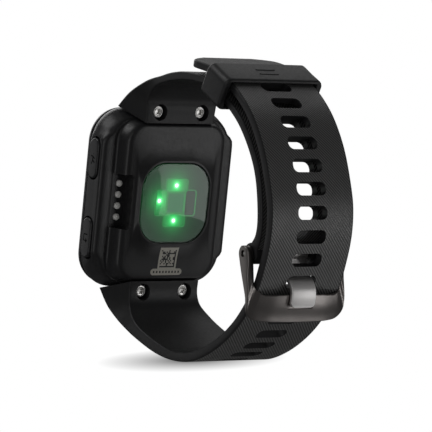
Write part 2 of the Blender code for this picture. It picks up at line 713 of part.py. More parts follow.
def set_origin(obj, y, z):
    """Move the object's origin to the axis through (y, z) and leave its shape in place."""
    shift = Matrix.Translation(Vector((0.0, y, z)) * MM)
    obj.data.transform(shift.inverted() @ obj.matrix_world)
    obj.matrix_world = shift


def arm_outline(steps=8):
    """Stadium from the pin to the crossbar, in Y and Z."""
    angle = math.atan2(CROSSBAR_Z - PIN_Z, CROSSBAR_Y - PIN_Y)
    points = []
    for centre_y, centre_z, start in ((CROSSBAR_Y, CROSSBAR_Z, angle - math.pi / 2),
                                      (PIN_Y, PIN_Z, angle + math.pi / 2)):
        for step in range(steps + 1):
            turn = start + math.pi * step / steps
            points.append((centre_y + ARM_RADIUS * math.cos(turn), centre_z + ARM_RADIUS * math.sin(turn)))
    return points


def make_buckle_frame():
    """U-shaped frame: a leaning crossbar with an arm at each end."""
    half_x = ARM_X[1]
    place = lean_frame(CROSSBAR_Y, CROSSBAR_Z, -CROSSBAR_LEAN)
    outline = rounded_outline(half_x, CROSSBAR_TALL / 2, 1.2, 3)
    frame = extruded("buckle_frame", outline, CROSSBAR_THICK, place, "buckle_metal")
    for side in (1, -1):
        middle = side * (ARM_X[0] + ARM_X[1]) / 2
        arm = extruded("buckle_arm", arm_outline(), ARM_X[1] - ARM_X[0],
                       Matrix.Translation((middle * MM, 0.0, 0.0)) @ PLANES["YZ"], None, CUTTERS)
        join(frame, arm)
    cut(frame, cylinder("frame_bore", (0.0, PIN_Y, PIN_Z), PIN_BORE, 30.0, "X", None, CUTTERS))
    seat = box("prong_seat", (-PRONG_HALF_X - 0.4, PRONG_SEAT_Y, PRONG_SEAT_Z),
               (PRONG_HALF_X + 0.4, PRONG_SEAT_Y + 6.0, -8.0), None, CUTTERS)
    cut(frame, seat)
    set_origin(frame, PIN_Y, PIN_Z)


def make_prong():
    """Flat tongue with a barrel round the spring bar; it crosses the strap and rests on the bar."""
    middle = smooth_path(PRONG_STATIONS, 3)
    left, right = [], []
    for i, (y, z) in enumerate(middle):
        before, after = middle[max(i - 1, 0)], middle[min(i + 1, len(middle) - 1)]
        length = math.dist(before, after)
        normal_y = (after[1] - before[1]) / length
        normal_z = -(after[0] - before[0]) / length
        left.append((y + normal_y * PRONG_THICK / 2, z + normal_z * PRONG_THICK / 2))
        right.append((y - normal_y * PRONG_THICK / 2, z - normal_z * PRONG_THICK / 2))
    prong = extruded("buckle_prong", left + right[::-1], 2 * PRONG_HALF_X, PLANES["YZ"], "buckle_metal")
    join(prong, cylinder("prong_barrel", (0.0, PIN_Y, PIN_Z), 1.65, 2 * PRONG_HALF_X, "X",
                         None, CUTTERS))
    cut(prong, cylinder("prong_bore", (0.0, PIN_Y, PIN_Z), PIN_BORE, 10.0, "X", None, CUTTERS))
    set_origin(prong, PIN_Y, PIN_Z)


def make_keeper():
    """Loop that holds the strap's tail down; it slides along the strap."""
    def sized(name, half_x, half_thick, length, look, collection):
        mesh = mesh_from(lambda bm: bmesh.ops.create_cube(
            bm, size=2.0, matrix=Matrix.Diagonal((half_x * MM, length * MM / 2, half_thick * MM, 1.0))))
        obj = add_object(name, mesh, look, collection)
        obj.location = Vector((0.0, KEEPER_Y, KEEPER_Z)) * MM
        obj.rotation_euler = (-KEEPER_LEAN, 0.0, 0.0)
        return obj
    keeper = sized("strap_keeper", KEEPER_HALF_X, KEEPER_HALF_THICK, KEEPER_LENGTH, "silicone", PARTS)
    edge = keeper.modifiers.new("edge", "BEVEL")
    edge.width = 0.7 * MM
    edge.segments = 2
    cut(keeper, sized("keeper_opening", KEEPER_HALF_X - 1.6, KEEPER_HALF_THICK - KEEPER_WALL,
                      KEEPER_LENGTH * 2, None, CUTTERS))


# ---------------------------------------------------------------- assembly

make_rear_case()
make_front()
make_window()
make_buttons()
make_contacts()
make_electronics()
make_straps()
make_screws()
make_buckle_frame()
make_prong()
cylinder("spring_bar", (0.0, PIN_Y, PIN_Z), PIN_RADIUS, 25.6, "X", "steel")
make_keeper()
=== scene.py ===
"""Looks for the GPS running watch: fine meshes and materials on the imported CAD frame.

Sizes are in millimetres, in the frame's own axes, and the helpers turn them into metres.
-Y is the way the display looks, +Y points to the wrist, +Z to twelve o'clock, +X to the
side with the charging contacts.
"""

import math
import random

import bmesh
import bpy
from mathutils import Matrix, Vector
from mathutils.bvhtree import BVHTree


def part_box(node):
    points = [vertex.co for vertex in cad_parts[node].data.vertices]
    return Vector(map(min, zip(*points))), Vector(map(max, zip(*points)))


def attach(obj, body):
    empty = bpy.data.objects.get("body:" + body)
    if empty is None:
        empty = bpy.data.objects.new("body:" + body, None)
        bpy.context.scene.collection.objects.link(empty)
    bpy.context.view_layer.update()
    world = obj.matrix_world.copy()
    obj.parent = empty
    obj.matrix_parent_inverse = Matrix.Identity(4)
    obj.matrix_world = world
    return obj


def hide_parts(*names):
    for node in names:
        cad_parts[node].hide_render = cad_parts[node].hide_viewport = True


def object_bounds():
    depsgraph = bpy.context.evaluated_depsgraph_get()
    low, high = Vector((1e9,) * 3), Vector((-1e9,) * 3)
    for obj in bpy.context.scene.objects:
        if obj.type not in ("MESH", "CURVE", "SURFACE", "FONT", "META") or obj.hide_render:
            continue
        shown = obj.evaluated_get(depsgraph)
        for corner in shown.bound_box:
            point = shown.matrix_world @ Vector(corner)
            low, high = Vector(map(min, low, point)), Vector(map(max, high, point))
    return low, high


MM = 0.001
ROOT = "watch"
WHITE = (1.0, 1.0, 1.0, 1.0)

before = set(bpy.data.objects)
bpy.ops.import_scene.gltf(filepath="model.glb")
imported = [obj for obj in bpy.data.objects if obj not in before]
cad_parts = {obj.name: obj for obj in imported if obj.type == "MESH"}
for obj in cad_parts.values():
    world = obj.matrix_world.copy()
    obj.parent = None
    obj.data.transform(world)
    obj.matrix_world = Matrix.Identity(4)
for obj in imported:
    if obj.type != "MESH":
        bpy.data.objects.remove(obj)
cad_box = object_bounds()


def node_mm(name):
    """Centre, lowest corner and highest corner of a CAD node, in millimetres."""
    low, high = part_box(name)
    return (low + high) / 2 / MM, low / MM, high / MM


# ---- node helpers

def set_inputs(tree, node, inputs):
    """Sets a node's inputs to values, or links them to other nodes' outputs."""
    for key, value in inputs.items():
        if hasattr(value, "is_output"):
            tree.links.new(value, node.inputs[key])
        else:
            node.inputs[key].default_value = value


def add_node(tree, kind, inputs=None, **settings):
    node = tree.nodes.new(kind)
    for key, value in settings.items():
        setattr(node, key, value)
    set_inputs(tree, node, inputs or {})
    return node


def new_material(name, colour, roughness, metallic=0.0):
    made = bpy.data.materials.new(name)
    made.use_nodes = True
    shader = made.node_tree.nodes["Principled BSDF"]
    set_inputs(made.node_tree, shader, {"Base Color": (*colour, 1.0), "Roughness": roughness,
                                        "Metallic": metallic})
    return made, made.node_tree, shader


def adjusted(made, inputs):
    """The material with some inputs of its shader set."""
    set_inputs(made.node_tree, made.node_tree.nodes["Principled BSDF"], inputs)
    return made


def empty_tree(holder):
    """The cleared node tree of a material or world."""
    holder.use_nodes = True
    holder.node_tree.nodes.clear()
    return holder.node_tree


def end_in_mix(tree, factor, first, second, kind="ShaderNodeOutputMaterial"):
    """Ends a tree in a mix of two shaders."""
    mix = add_node(tree, "ShaderNodeMixShader", {0: factor, 1: first.outputs[0], 2: second.outputs[0]})
    add_node(tree, kind, {"Surface": mix.outputs[0]})


def camera_ray(tree):
    return add_node(tree, "ShaderNodeLightPath").outputs["Is Camera Ray"]


def math_node(tree, operation, a, b=0.0, clamp=False):
    return add_node(tree, "ShaderNodeMath", {0: a, 1: b}, operation=operation, use_clamp=clamp).outputs[0]


def vector_math(tree, operation, a, b, output="Vector"):
    return add_node(tree, "ShaderNodeVectorMath", {0: a, 1: b}, operation=operation).outputs[output]


def object_position(tree):
    """Position in millimetres, in the object's own axes."""
    source = add_node(tree, "ShaderNodeTexCoord").outputs["Object"]
    return add_node(tree, "ShaderNodeVectorMath", {0: source, 3: 1.0 / MM}, operation="SCALE").outputs[0]


def noise_value(tree, scale, detail=3.0, position=None):
    position = position or object_position(tree)
    return add_node(tree, "ShaderNodeTexNoise", {"Vector": position, "Scale": scale, "Detail": detail}
                    ).outputs["Fac"]


def bands_value(tree, scale):
    """Even stripes that run across, one above the other."""
    inputs = {"Vector": object_position(tree), "Scale": scale, "Distortion": 0.0}
    return add_node(tree, "ShaderNodeTexWave", inputs, bands_direction="Z").outputs["Fac"]


def ranged(tree, value, low, high, from_low=0.3, from_high=0.7):
    return add_node(tree, "ShaderNodeMapRange", {"Value": value, "From Min": from_low,
                    "From Max": from_high, "To Min": low, "To Max": high}).outputs["Result"]


def add_bump(tree, shader, height, distance_mm, strength=1.0, below=None):
    inputs = {"Height": height, "Distance": distance_mm * MM, "Strength": strength}
    if below is not None:
        inputs["Normal"] = below
    normal = add_node(tree, "ShaderNodeBump", inputs).outputs["Normal"]
    set_inputs(tree, shader, {"Normal": normal})
    return normal


def colour_between(tree, factor, first, second):
    mix = add_node(tree, "ShaderNodeMix", data_type="RGBA")
    set_inputs(tree, mix, {0: factor, 6: (*first, 1.0), 7: (*second, 1.0)})
    return mix.outputs[2]


# ---- kinds of material

def textured_plastic(name, dark, light, roughness, grain_mm, depth_mm):
    """Moulded plastic or rubber: fine grain, faint cloudiness and uneven gloss."""
    made, tree, shader = new_material(name, dark, roughness)
    cloud, gloss = noise_value(tree, 0.22, 4.0), noise_value(tree, 1.7)
    set_inputs(tree, shader, {"Base Color": colour_between(tree, cloud, dark, light),
                              "Roughness": ranged(tree, gloss, roughness - 0.04, roughness + 0.05)})
    add_bump(tree, shader, noise_value(tree, 1.0 / grain_mm, 2.0), depth_mm, 0.6)
    return made


RIDGE_PITCH = 0.55             # spacing of the strap's diagonal ridges
RIDGE_ANGLE = math.radians(-42)
RIDGE_DEPTH = 0.05


def ridged_silicone(name, dark, light, roughness):
    """Strap rubber with fine diagonal ridges laid out in the strap's own flat coordinates; each ridge's
    crest is painted lighter as a highlight.
    """
    made, tree, shader = new_material(name, dark, roughness)
    flat = add_node(tree, "ShaderNodeUVMap", uv_map="flat").outputs["UV"]
    aim = (math.cos(RIDGE_ANGLE), math.sin(RIDGE_ANGLE), 0.0)
    phase = math_node(tree, "MULTIPLY", vector_math(tree, "DOT_PRODUCT", flat, aim, "Value"),
                      2 * math.pi / RIDGE_PITCH)
    wave = math_node(tree, "MULTIPLY_ADD", math_node(tree, "SINE", phase), 0.5)
    set_inputs(tree, wave.node, {2: 0.5})
    crest_and_highlight = math_node(tree, "POWER", wave, 1.4)
    gloss = noise_value(tree, 0.8)
    # Painted highlight: the ridge crests take the lighter colour, the hollows the dark one.
    set_inputs(tree, shader, {"Base Color": colour_between(tree, crest_and_highlight, dark, light),
                              "Roughness": ranged(tree, gloss, roughness - 0.05, roughness + 0.05),
                              "Specular IOR Level": 1.0})
    grain = add_bump(tree, shader, noise_value(tree, 6.0, 2.0), 0.003, 0.5)
    add_bump(tree, shader, crest_and_highlight, RIDGE_DEPTH, 1.0, below=grain)
    return made


def satin_metal(name, colour, bright, roughness, streak):
    """Blasted or brushed metal with a fine stretched grain and slight colour drift."""
    made, tree, shader = new_material(name, colour, roughness, 1.0)
    stretched = vector_math(tree, "MULTIPLY", object_position(tree), streak)
    fine = noise_value(tree, 1.0, position=stretched)
    cloud = noise_value(tree, 0.35)
    set_inputs(tree, shader, {"Base Color": colour_between(tree, cloud, colour, bright),
                              "Roughness": ranged(tree, fine, roughness - 0.05, roughness + 0.07)})
    add_bump(tree, shader, fine, 0.002, 0.5)
    return made


def plain_detail(name, colour, roughness, metallic=0.0, variation=0.12, scale=1.5):
    """Small or inner piece: base colour with a slight mottling and an uneven gloss."""
    made, tree, shader = new_material(name, colour, roughness, metallic)
    cloud = noise_value(tree, scale, 4.0)
    lighter = tuple(min(1.0, c * (1 + variation) + 0.004) for c in colour)
    darker = tuple(c * (1 - variation) for c in colour)
    set_inputs(tree, shader, {"Base Color": colour_between(tree, cloud, darker, lighter),
                              "Roughness": ranged(tree, cloud, roughness - 0.04, roughness + 0.04)})
    return made


GLASS_IOR = 1.38               # low, so that the covers stay clear from the side


def glass_material(name, tint):
    """Thin tinted cover: clear enough to see through, with a surface reflection."""
    made = bpy.data.materials.new(name)
    tree = empty_tree(made)
    smear = ranged(tree, noise_value(tree, 0.5), 0.018, 0.06)
    through = add_node(tree, "ShaderNodeBsdfTransparent", {"Color": (*tint, 1.0)})
    shine = add_node(tree, "ShaderNodeBsdfGlossy", {"Color": WHITE, "Roughness": smear})
    fresnel = add_node(tree, "ShaderNodeFresnel", {"IOR": GLASS_IOR})
    end_in_mix(tree, fresnel.outputs[0], through, shine)
    return made


# ---- mesh helpers

def piece(name, mesh, looks, body=ROOT, smooth=35, stands_for=None):
    """Object that rides on a body, takes a finish slot and may stand for a CAD node."""
    obj = bpy.data.objects.new(name, mesh)
    bpy.context.scene.collection.objects.link(obj)
    slots = [face.material_index for face in mesh.polygons]
    mesh.materials.clear()
    for look in looks:
        mesh.materials.append(look)
    mesh.polygons.foreach_set("material_index", slots)
    mesh.shade_smooth()
    mesh.set_sharp_from_angle(angle=math.radians(smooth))
    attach(obj, body)
    if stands_for:
        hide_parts(stands_for)


def mesh_from(build, normals=True):
    bm = bmesh.new()
    build(bm)
    if normals:
        bmesh.ops.recalc_face_normals(bm, faces=bm.faces)
    mesh = bpy.data.meshes.new("mesh")
    bm.to_mesh(mesh)
    bm.free()
    return mesh


def loft_mesh(rings, closed=False):
    """Mesh through rings of equal point count; closed joins the last ring to the first."""
    def build(bm):
        rows = [[bm.verts.new(Vector(point) * MM) for point in ring] for ring in rings]
        pairs = list(zip(rows, rows[1:]))
        if closed:
            pairs.append((rows[-1], rows[0]))
        for near, far in pairs:
            for i in range(len(near)):
                j = (i + 1) % len(near)
                bm.faces.new((near[i], near[j], far[j], far[i]))
        if not closed:
            bm.faces.new(rows[0])
            bm.faces.new(rows[-1])
    return mesh_from(build)


def rounded_outline(half_a, half_b, radius, steps=10, straight=1):
    """Rounded rectangle with its straight sides split evenly as well."""
    points = []
    for side_a, side_b, start in ((1, 1, 0), (-1, 1, 90), (-1, -1, 180), (1, -1, 270)):
        for step in range(steps + 1):
            angle = math.radians(start + 90 * step / steps)
            points.append((side_a * (half_a - radius) + radius * math.cos(angle),
                           side_b * (half_b - radius) + radius * math.sin(angle)))
    split = []
    for i, point in enumerate(points):
        split.append(point)
        if i % (steps + 1) == steps:
            following = points[(i + 1) % len(points)]
            for k in range(1, straight):
                split.append(tuple(a + (b - a) * (k / straight) for a, b in zip(point, following)))
    return split


def plan_ring(half_x, half_z, radius, y, steps, straight=1):
    return [(a, y, b) for a, b in rounded_outline(half_x, half_z, radius, steps, straight)]


def plan_loft(stations, steps, straight=1, closed=False):
    """Mesh through rounded rectangles, each given as half sizes, corner radius and Y."""
    return loft_mesh([plan_ring(*station, steps, straight) for station in stations], closed)


def outline_loft(outline, heights):
    """Straight body over an X-Z outline, between two heights along Y."""
    return loft_mesh([[(x, y, z) for x, z in outline] for y in heights])


def side_ring(x, centre_y, centre_z, half_y, half_z, radius, steps):
    return [(x, centre_y + a, centre_z + b) for a, b in rounded_outline(half_y, half_z, radius, steps)]


def catmull_rom(a, b, c, d, t):
    return 0.5 * (2 * b + (c - a) * t + (2 * a - 5 * b + 4 * c - d) * t ** 2
                  + (3 * b - a - 3 * c + d) * t ** 3)


def smooth_path(stations, steps):
    """Catmull-Rom points through the stations, keeping the first and last."""
    last = len(stations) - 1
    dense = []
    for i in range(last):
        around = [stations[max(i - 1, 0)], stations[i], stations[i + 1], stations[min(i + 2, last)]]
        for step in range(steps):
            dense.append(tuple(catmull_rom(*values, step / steps) for values in zip(*around)))
    dense.append(tuple(stations[-1]))
    return dense


def box_mesh(low, high):
    low, high = Vector(low) * MM, Vector(high) * MM
    place = Matrix.Translation((low + high) / 2) @ Matrix.Diagonal((*(high - low), 1.0))
    return mesh_from(lambda bm: bmesh.ops.create_cube(bm, size=1.0, matrix=place))


AXIS_TURNS = {
    "X": Matrix.Rotation(math.radians(90), 4, "Y"),
    "Y": Matrix.Rotation(math.radians(-90), 4, "X"),
}


def cylinder_mesh(centre, radius, length, axis, sides=48):
    place = Matrix.Translation(Vector(centre) * MM) @ AXIS_TURNS[axis]
    return mesh_from(lambda bm: bmesh.ops.create_cone(
        bm, cap_ends=True, segments=sides, radius1=radius * MM, radius2=radius * MM,
        depth=length * MM, matrix=place))


def circle(first, second, radius, sides):
    """Points of a circle about (first, second)."""
    turns = [2 * math.pi * i / sides for i in range(sides)]
    return [(first + radius * math.cos(turn), second + radius * math.sin(turn)) for turn in turns]


def turned_mesh(profile, centre, sides):
    """Body spun about a line along Y through centre; the profile is radius and Y."""
    return loft_mesh([[(x, y, z) for x, z in circle(centre.x, centre.z, radius, sides)]
                      for radius, y in profile])


def boolean(mesh, helpers, operation):
    """The mesh after cutting by, or joining to, each helper mesh in turn."""
    body, *others = [bpy.data.objects.new("boolean", each) for each in (mesh, *helpers)]
    for obj in (body, *others):
        bpy.context.scene.collection.objects.link(obj)
    for other in others:
        modifier = body.modifiers.new("boolean", "BOOLEAN")
        modifier.operation = operation
        modifier.solver = "EXACT"
        modifier.object = other
    depsgraph = bpy.context.evaluated_depsgraph_get()
    result = bpy.data.meshes.new_from_object(body.evaluated_get(depsgraph))
    for obj in (body, *others):
        bpy.data.objects.remove(obj, do_unlink=True)
    return result


def joined(meshes):
    """One mesh holding several separate bodies."""
    def build(bm):
        for mesh in meshes:
            bm.from_mesh(mesh)
    return mesh_from(build, normals=False)


def bevelled(mesh, width_mm):
    """The mesh with its sharp edges rounded."""
    def build(bm):
        bm.from_mesh(mesh)
        sharp = [e for e in bm.edges if len(e.link_faces) == 2
                 and e.calc_face_angle(0.0) > math.radians(60)]
        bmesh.ops.bevel(bm, geom=sharp, offset=width_mm * MM, segments=2, profile=0.5,
                        affect="EDGES", clamp_overlap=True)
    return mesh_from(build, normals=False)


# ---- looks used by several pieces

COAL = (0.012, 0.012, 0.013)
SOOT = (0.011, 0.011, 0.012)
CASE_BLACK = textured_plastic("case_black", COAL, (0.02, 0.02, 0.021), 0.36, 0.12, 0.012)
BEZEL_BLACK = textured_plastic("bezel_black", COAL, (0.019, 0.019, 0.02), 0.3, 0.14, 0.01)
SILICONE = textured_plastic("silicone_smooth", SOOT, (0.019, 0.019, 0.02), 0.46, 0.16, 0.012)
# The ridged rubber's lighter colour is a painted highlight along the ridge crests.
RIDGED = ridged_silicone("silicone_ridged", (0.003, 0.003, 0.003), (0.14, 0.139, 0.138), 0.38)
BUTTON_BLACK = textured_plastic("button_black", SOOT, (0.017, 0.017, 0.018), 0.3, 0.1, 0.002)
DARK_RUBBER = textured_plastic("dark_rubber", (0.006, 0.006, 0.006), (0.012, 0.012, 0.012), 0.65, 0.1, 0.01)
GUNMETAL = satin_metal("gunmetal", (0.23, 0.213, 0.205), (0.265, 0.247, 0.238), 0.33, (2.0, 5.0, 5.0))
PRONG_STEEL = satin_metal("prong_steel", (0.88, 0.865, 0.855), (0.94, 0.92, 0.91), 0.48, (8.0, 2.0, 2.0))
SILVER = satin_metal("silver_steel", (0.68, 0.67, 0.65), (0.78, 0.77, 0.75), 0.32, (3.0, 3.0, 3.0))
BRASS = satin_metal("machined_brass", (0.62, 0.42, 0.16), (0.72, 0.52, 0.22), 0.3, (6.0, 1.0, 6.0))
CONTACT_PLATING = plain_detail("contact_plating", (0.85, 0.84, 0.81), 0.45, 0.25)
INK = adjusted(plain_detail("icon_ink", (0.002, 0.002, 0.002), 0.9), {"Specular IOR Level": 0.0})


# ---- rear case

SPLIT_Y = 2.4                  # where the bezel meets the rear case
BUTTON_CENTRE = node_mm("button_cap_run")[0]
WINDOW_HIGH = node_mm("sensor_window")[2]
WINDOW_HALF_X = WINDOW_HIGH.x
WINDOW_HALF_Z = WINDOW_HIGH.z
WINDOW_CORNER = 6.0
WINDOW_EDGE_Y = 12.75
CONTACT_X = node_mm("charge_contact_1")[0].x
CONTACT_HEIGHTS = [node_mm("charge_contact_%d" % i)[0].z for i in range(1, 5)]
RECESS_LOW_X = 10.97
RECESS_HIGH_X = 14.7
RECESS_HALF_Z = 6.1
RECESS_CORNER = 1.3
RECESS_STEPS = [(0.0, 8.2), (0.0, 11.4), (0.35, 11.85), (0.5, 13.0)]   # growth and Y, from its floor out
RAIL_X = 18.02
SCREW_CENTRE = node_mm("strap_screw_upper_contact_side")[0]
SIDES = {1: ("upper", "_contact_side"), -1: ("lower", "_far_side")}    # words for +Z and +X, -Z and -X
CORNERS = {"run": (1, 1), "back": (1, -1), "light": (-1, 1), "page": (-1, -1)}
CASE_OUTSIDE = [               # half width, half height, corner radius and Y, from the bezel to the window
    (17.25, 20.05, 7.5, SPLIT_Y), (17.55, 20.3, 7.5, 3.6), (17.6, 20.25, 7.5, 4.9),
    (17.55, 19.65, 7.5, 6.4), (17.25, 19.15, 7.2, 7.5), (16.5, 18.9, 6.8, 8.3),
    (15.6, 18.8, 6.4, 8.5), (14.9, 18.75, 5.9, 8.5),
    (14.35, 18.55, 5.4, 8.75), (13.95, 18.3, 5.0, 9.6), (13.6, 17.95, 4.6, 10.6), (13.1, 17.6, 4.2, 11.3),
    (12.4, 17.3, 4.0, 11.6), (11.6, 16.6, 4.2, 11.72), (10.8, 14.6, 4.8, 11.85), (10.3, 12.4, 5.6, 12.05),
    (9.95, 10.7, 6.1, 12.4), (9.62, 9.5, 6.2, 12.78),
]
SEAT_X = WINDOW_HALF_X + 0.12
SEAT_Z = WINDOW_HALF_Z + 0.12
CASE_INSIDE = [                # the same from the window's seat back to the bezel
    (SEAT_X + 0.1, SEAT_Z + 0.1, WINDOW_CORNER + 0.2, WINDOW_EDGE_Y + 0.02),
    (SEAT_X, SEAT_Z, WINDOW_CORNER + 0.1, WINDOW_EDGE_Y - 0.1),
    (SEAT_X, SEAT_Z, WINDOW_CORNER + 0.1, 11.35),
    (7.5, 7.2, 4.5, 11.35), (7.5, 7.2, 4.5, 10.4), (9.0, 15.5, 2.0, 10.4), (9.0, 15.5, 2.0, 7.2),
    (15.8, 17.9, 5.8, 7.2), (15.8, 17.9, 5.8, SPLIT_Y),
]


def smoothstep(low, high, value):
    t = min(1.0, max(0.0, (value - low) / (high - low)))
    return t * t * (3 - 2 * t)


def with_rail(point):
    """Swells the side walls into the square-shouldered rail that holds the buttons."""
    x, y, z = point
    along = 1 - smoothstep(13.0, 14.4, abs(z - 0.75))
    outside = smoothstep(14.6, 16.0, abs(x))
    swell = 0.42 * smoothstep(2.4, 3.3, y) + 0.6 * smoothstep(6.2, 8.0, y)
    reach = min(max(abs(x), RAIL_X), abs(x) + swell * along * outside)
    return (math.copysign(reach, x), y, z)


def recess_outline(grow):
    """Notch for the contacts: rounded at the plateau's side, square at the shoulder's side."""
    low_x, half_z, corner = RECESS_LOW_X - grow, RECESS_HALF_Z + grow, RECESS_CORNER + grow
    outline = [(RECESS_HIGH_X, -half_z), (RECESS_HIGH_X, half_z)]
    for start, side in ((90, 1), (180, -1)):
        for step in range(9):
            angle = math.radians(start + 90 * step / 8)
            outline.append((low_x + corner + corner * math.cos(angle),
                            side * (half_z - corner) + corner * math.sin(angle)))
    return outline


def case_cutters():
    """The contacts' recess and bores, the buttons' openings and the screw holes."""
    cutters = [loft_mesh([[(x, y, z) for x, z in recess_outline(grow)] for grow, y in RECESS_STEPS])]
    for z in CONTACT_HEIGHTS:
        cutters.append(cylinder_mesh((CONTACT_X, 7.0, z), 0.86, 4.0, "Y", 32))
    for side_x, side_z in CORNERS.values():
        ring = side_ring(side_x * 15.0, BUTTON_CENTRE.y, side_z * BUTTON_CENTRE.z, 2.15, 4.9, 2.14, 12)
        cutters.append(loft_mesh([ring, [(side_x * 20.0, *point[1:]) for point in ring]]))
        hole = (side_x * SCREW_CENTRE.x, 8.2, side_z * SCREW_CENTRE.z)
        cutters.append(cylinder_mesh(hole, 1.5, 4.0, "Y", 32))
    return cutters


def make_rear_case():
    stations = smooth_path(CASE_OUTSIDE, 4)
    rings = [[with_rail(point) for point in plan_ring(*station, 14, 34)] for station in stations]
    rings += [plan_ring(*station, 14, 34) for station in CASE_INSIDE]
    shell = loft_mesh(rings, closed=True)
    tongue_low = node_mm("threaded_insert_upper_contact_side")[1].y - 0.1
    for low_z, high_z in ((18.1, 22.1), (-22.1, -18.1)):
        shell = boolean(shell, [box_mesh((-8.6, tongue_low, low_z), (8.6, 9.0, high_z))], "UNION")
    shell = boolean(shell, case_cutters(), "DIFFERENCE")
    piece("case_shell", shell, [CASE_BLACK], smooth=32, stands_for="rear_case")


# ---- optical sensor

EMITTERS = {                   # CAD node, and its glow's offset from it in X and Z if it is lit
    "green_led_top": (-0.2, 0.0), "green_led_bottom": (-0.2, 0.0), "green_led_side": (0.2, 0.5),
    "spare_emitter": None,
}
GLOW_GREEN = (0.02, 0.75, 0.16)
SENSOR_FLOOR_Y = 12.25
SENSOR_SHIFT = Vector((-0.4, 0.0, 0.0))        # chips are drawn this far from their CAD place
EMITTER_MARGIN = (0.45, 0.6)                   # what the clear body adds across and along a chip


def glow_strength(tree, reach, power, gain):
    """Soft round falloff about each lit point, summed."""
    position = object_position(tree)
    total = None
    for centre in lit_points():
        offset = vector_math(tree, "SUBTRACT", position, centre)
        flat = vector_math(tree, "MULTIPLY", offset, (1.0, 0.0, 1.0))
        distance = vector_math(tree, "LENGTH", flat, (0.0, 0.0, 0.0), "Value")
        ratio = math_node(tree, "DIVIDE", distance, reach)
        spread = math_node(tree, "ADD", math_node(tree, "MULTIPLY", ratio, ratio), 1.0)
        one = math_node(tree, "POWER", spread, -power)
        total = one if total is None else math_node(tree, "ADD", total, one)
    return math_node(tree, "MULTIPLY", total, gain)


def lit_points():
    """Brightest point of each lit chip."""
    points = []
    for name, offset in EMITTERS.items():
        if offset:
            centre = node_mm(name)[0]
            points.append((centre.x + offset[0], centre.y, centre.z + offset[1]))
    return points


def floor_material():
    """Black sensor floor with a painted green glow where light from the lit emitters spills onto it."""
    made, tree, shader = new_material("sensor_floor", (0.004, 0.007, 0.005), 0.35)
    # Painted light: green emission on the floor, brightest about each lit emitter and fading outwards.
    near = glow_strength(tree, 2.4, 2.2, 0.8)
    wide = glow_strength(tree, 6.0, 3.0, 0.16)
    set_inputs(tree, shader, {"Emission Color": (*GLOW_GREEN, 1.0),
                              "Emission Strength": math_node(tree, "ADD", near, wide)})
    add_bump(tree, shader, noise_value(tree, 6.0), 0.01, 0.4)
    return made


def package_material():
    """Clear epoxy body round a lit die: bright core, green body."""
    made, tree, shader = new_material("emitter_epoxy", (0.02, 0.2, 0.07), 0.15)
    core = glow_strength(tree, 0.55, 2.4, 8.0)
    body = glow_strength(tree, 1.9, 1.5, 1.9)
    whiteness = math_node(tree, "MULTIPLY", core, 0.2, clamp=True)
    glow = colour_between(tree, whiteness, GLOW_GREEN, (0.8, 1.0, 0.85))
    set_inputs(tree, shader, {"Emission Color": glow,
                              "Emission Strength": math_node(tree, "ADD", core, body)})
    return made


def photodiode_material():
    """Receiver chip with faint rows and a painted green glow standing for light from its neighbours."""
    made, tree, shader = new_material("photodiode_chip", (0.02, 0.11, 0.05), 0.25)
    rows = bands_value(tree, 1.4)
    colour = colour_between(tree, rows, (0.02, 0.1, 0.05), (0.035, 0.15, 0.075))
    set_inputs(tree, shader, {"Base Color": colour, "Emission Color": (0.1, 0.75, 0.3, 1.0),
                              "Emission Strength": 0.26})
    return made


def make_window():
    dome = [(WINDOW_HALF_X, WINDOW_HALF_Z, WINDOW_CORNER, 12.7), (9.1, 8.85, 5.9, 12.8),
            (8.0, 7.75, 5.3, 12.92), (6.4, 6.2, 4.4, 13.07), (4.0, 3.9, 3.0, 13.22), (1.0, 0.95, 0.8, 13.3)]
    stations = [(WINDOW_HALF_X - 0.3, WINDOW_HALF_Z - 0.3, WINDOW_CORNER - 0.3, 12.5),
                (WINDOW_HALF_X, WINDOW_HALF_Z, WINDOW_CORNER, 12.52)] + smooth_path(dome, 4)
    tint = glass_material("smoked_window", (0.62, 0.72, 0.66))
    piece("window_cover", plan_loft(stations, 14, 6), [tint], smooth=50,
          stands_for="sensor_window")


def chip_loft(centre, stations, closed=False):
    """Mesh through rounded rectangles about a chip, each with its height over the sensor floor."""
    return loft_mesh([[(centre.x + a, SENSOR_FLOOR_Y + lift, centre.z + b)
                       for a, b in rounded_outline(half_x, half_z, radius, 8)]
                      for half_x, half_z, radius, lift in stations], closed)


def chip_frame(name, centre, half_x, half_z, radius, look, width):
    """Thin raised frame round a chip."""
    stations = [(half_x + grow, half_z + grow, radius + grow, lift)
                for grow, lift in ((0.0, -0.1), (width, -0.1), (width, 0.22), (0.0, 0.22))]
    piece(name, chip_loft(centre, stations, closed=True), [look])


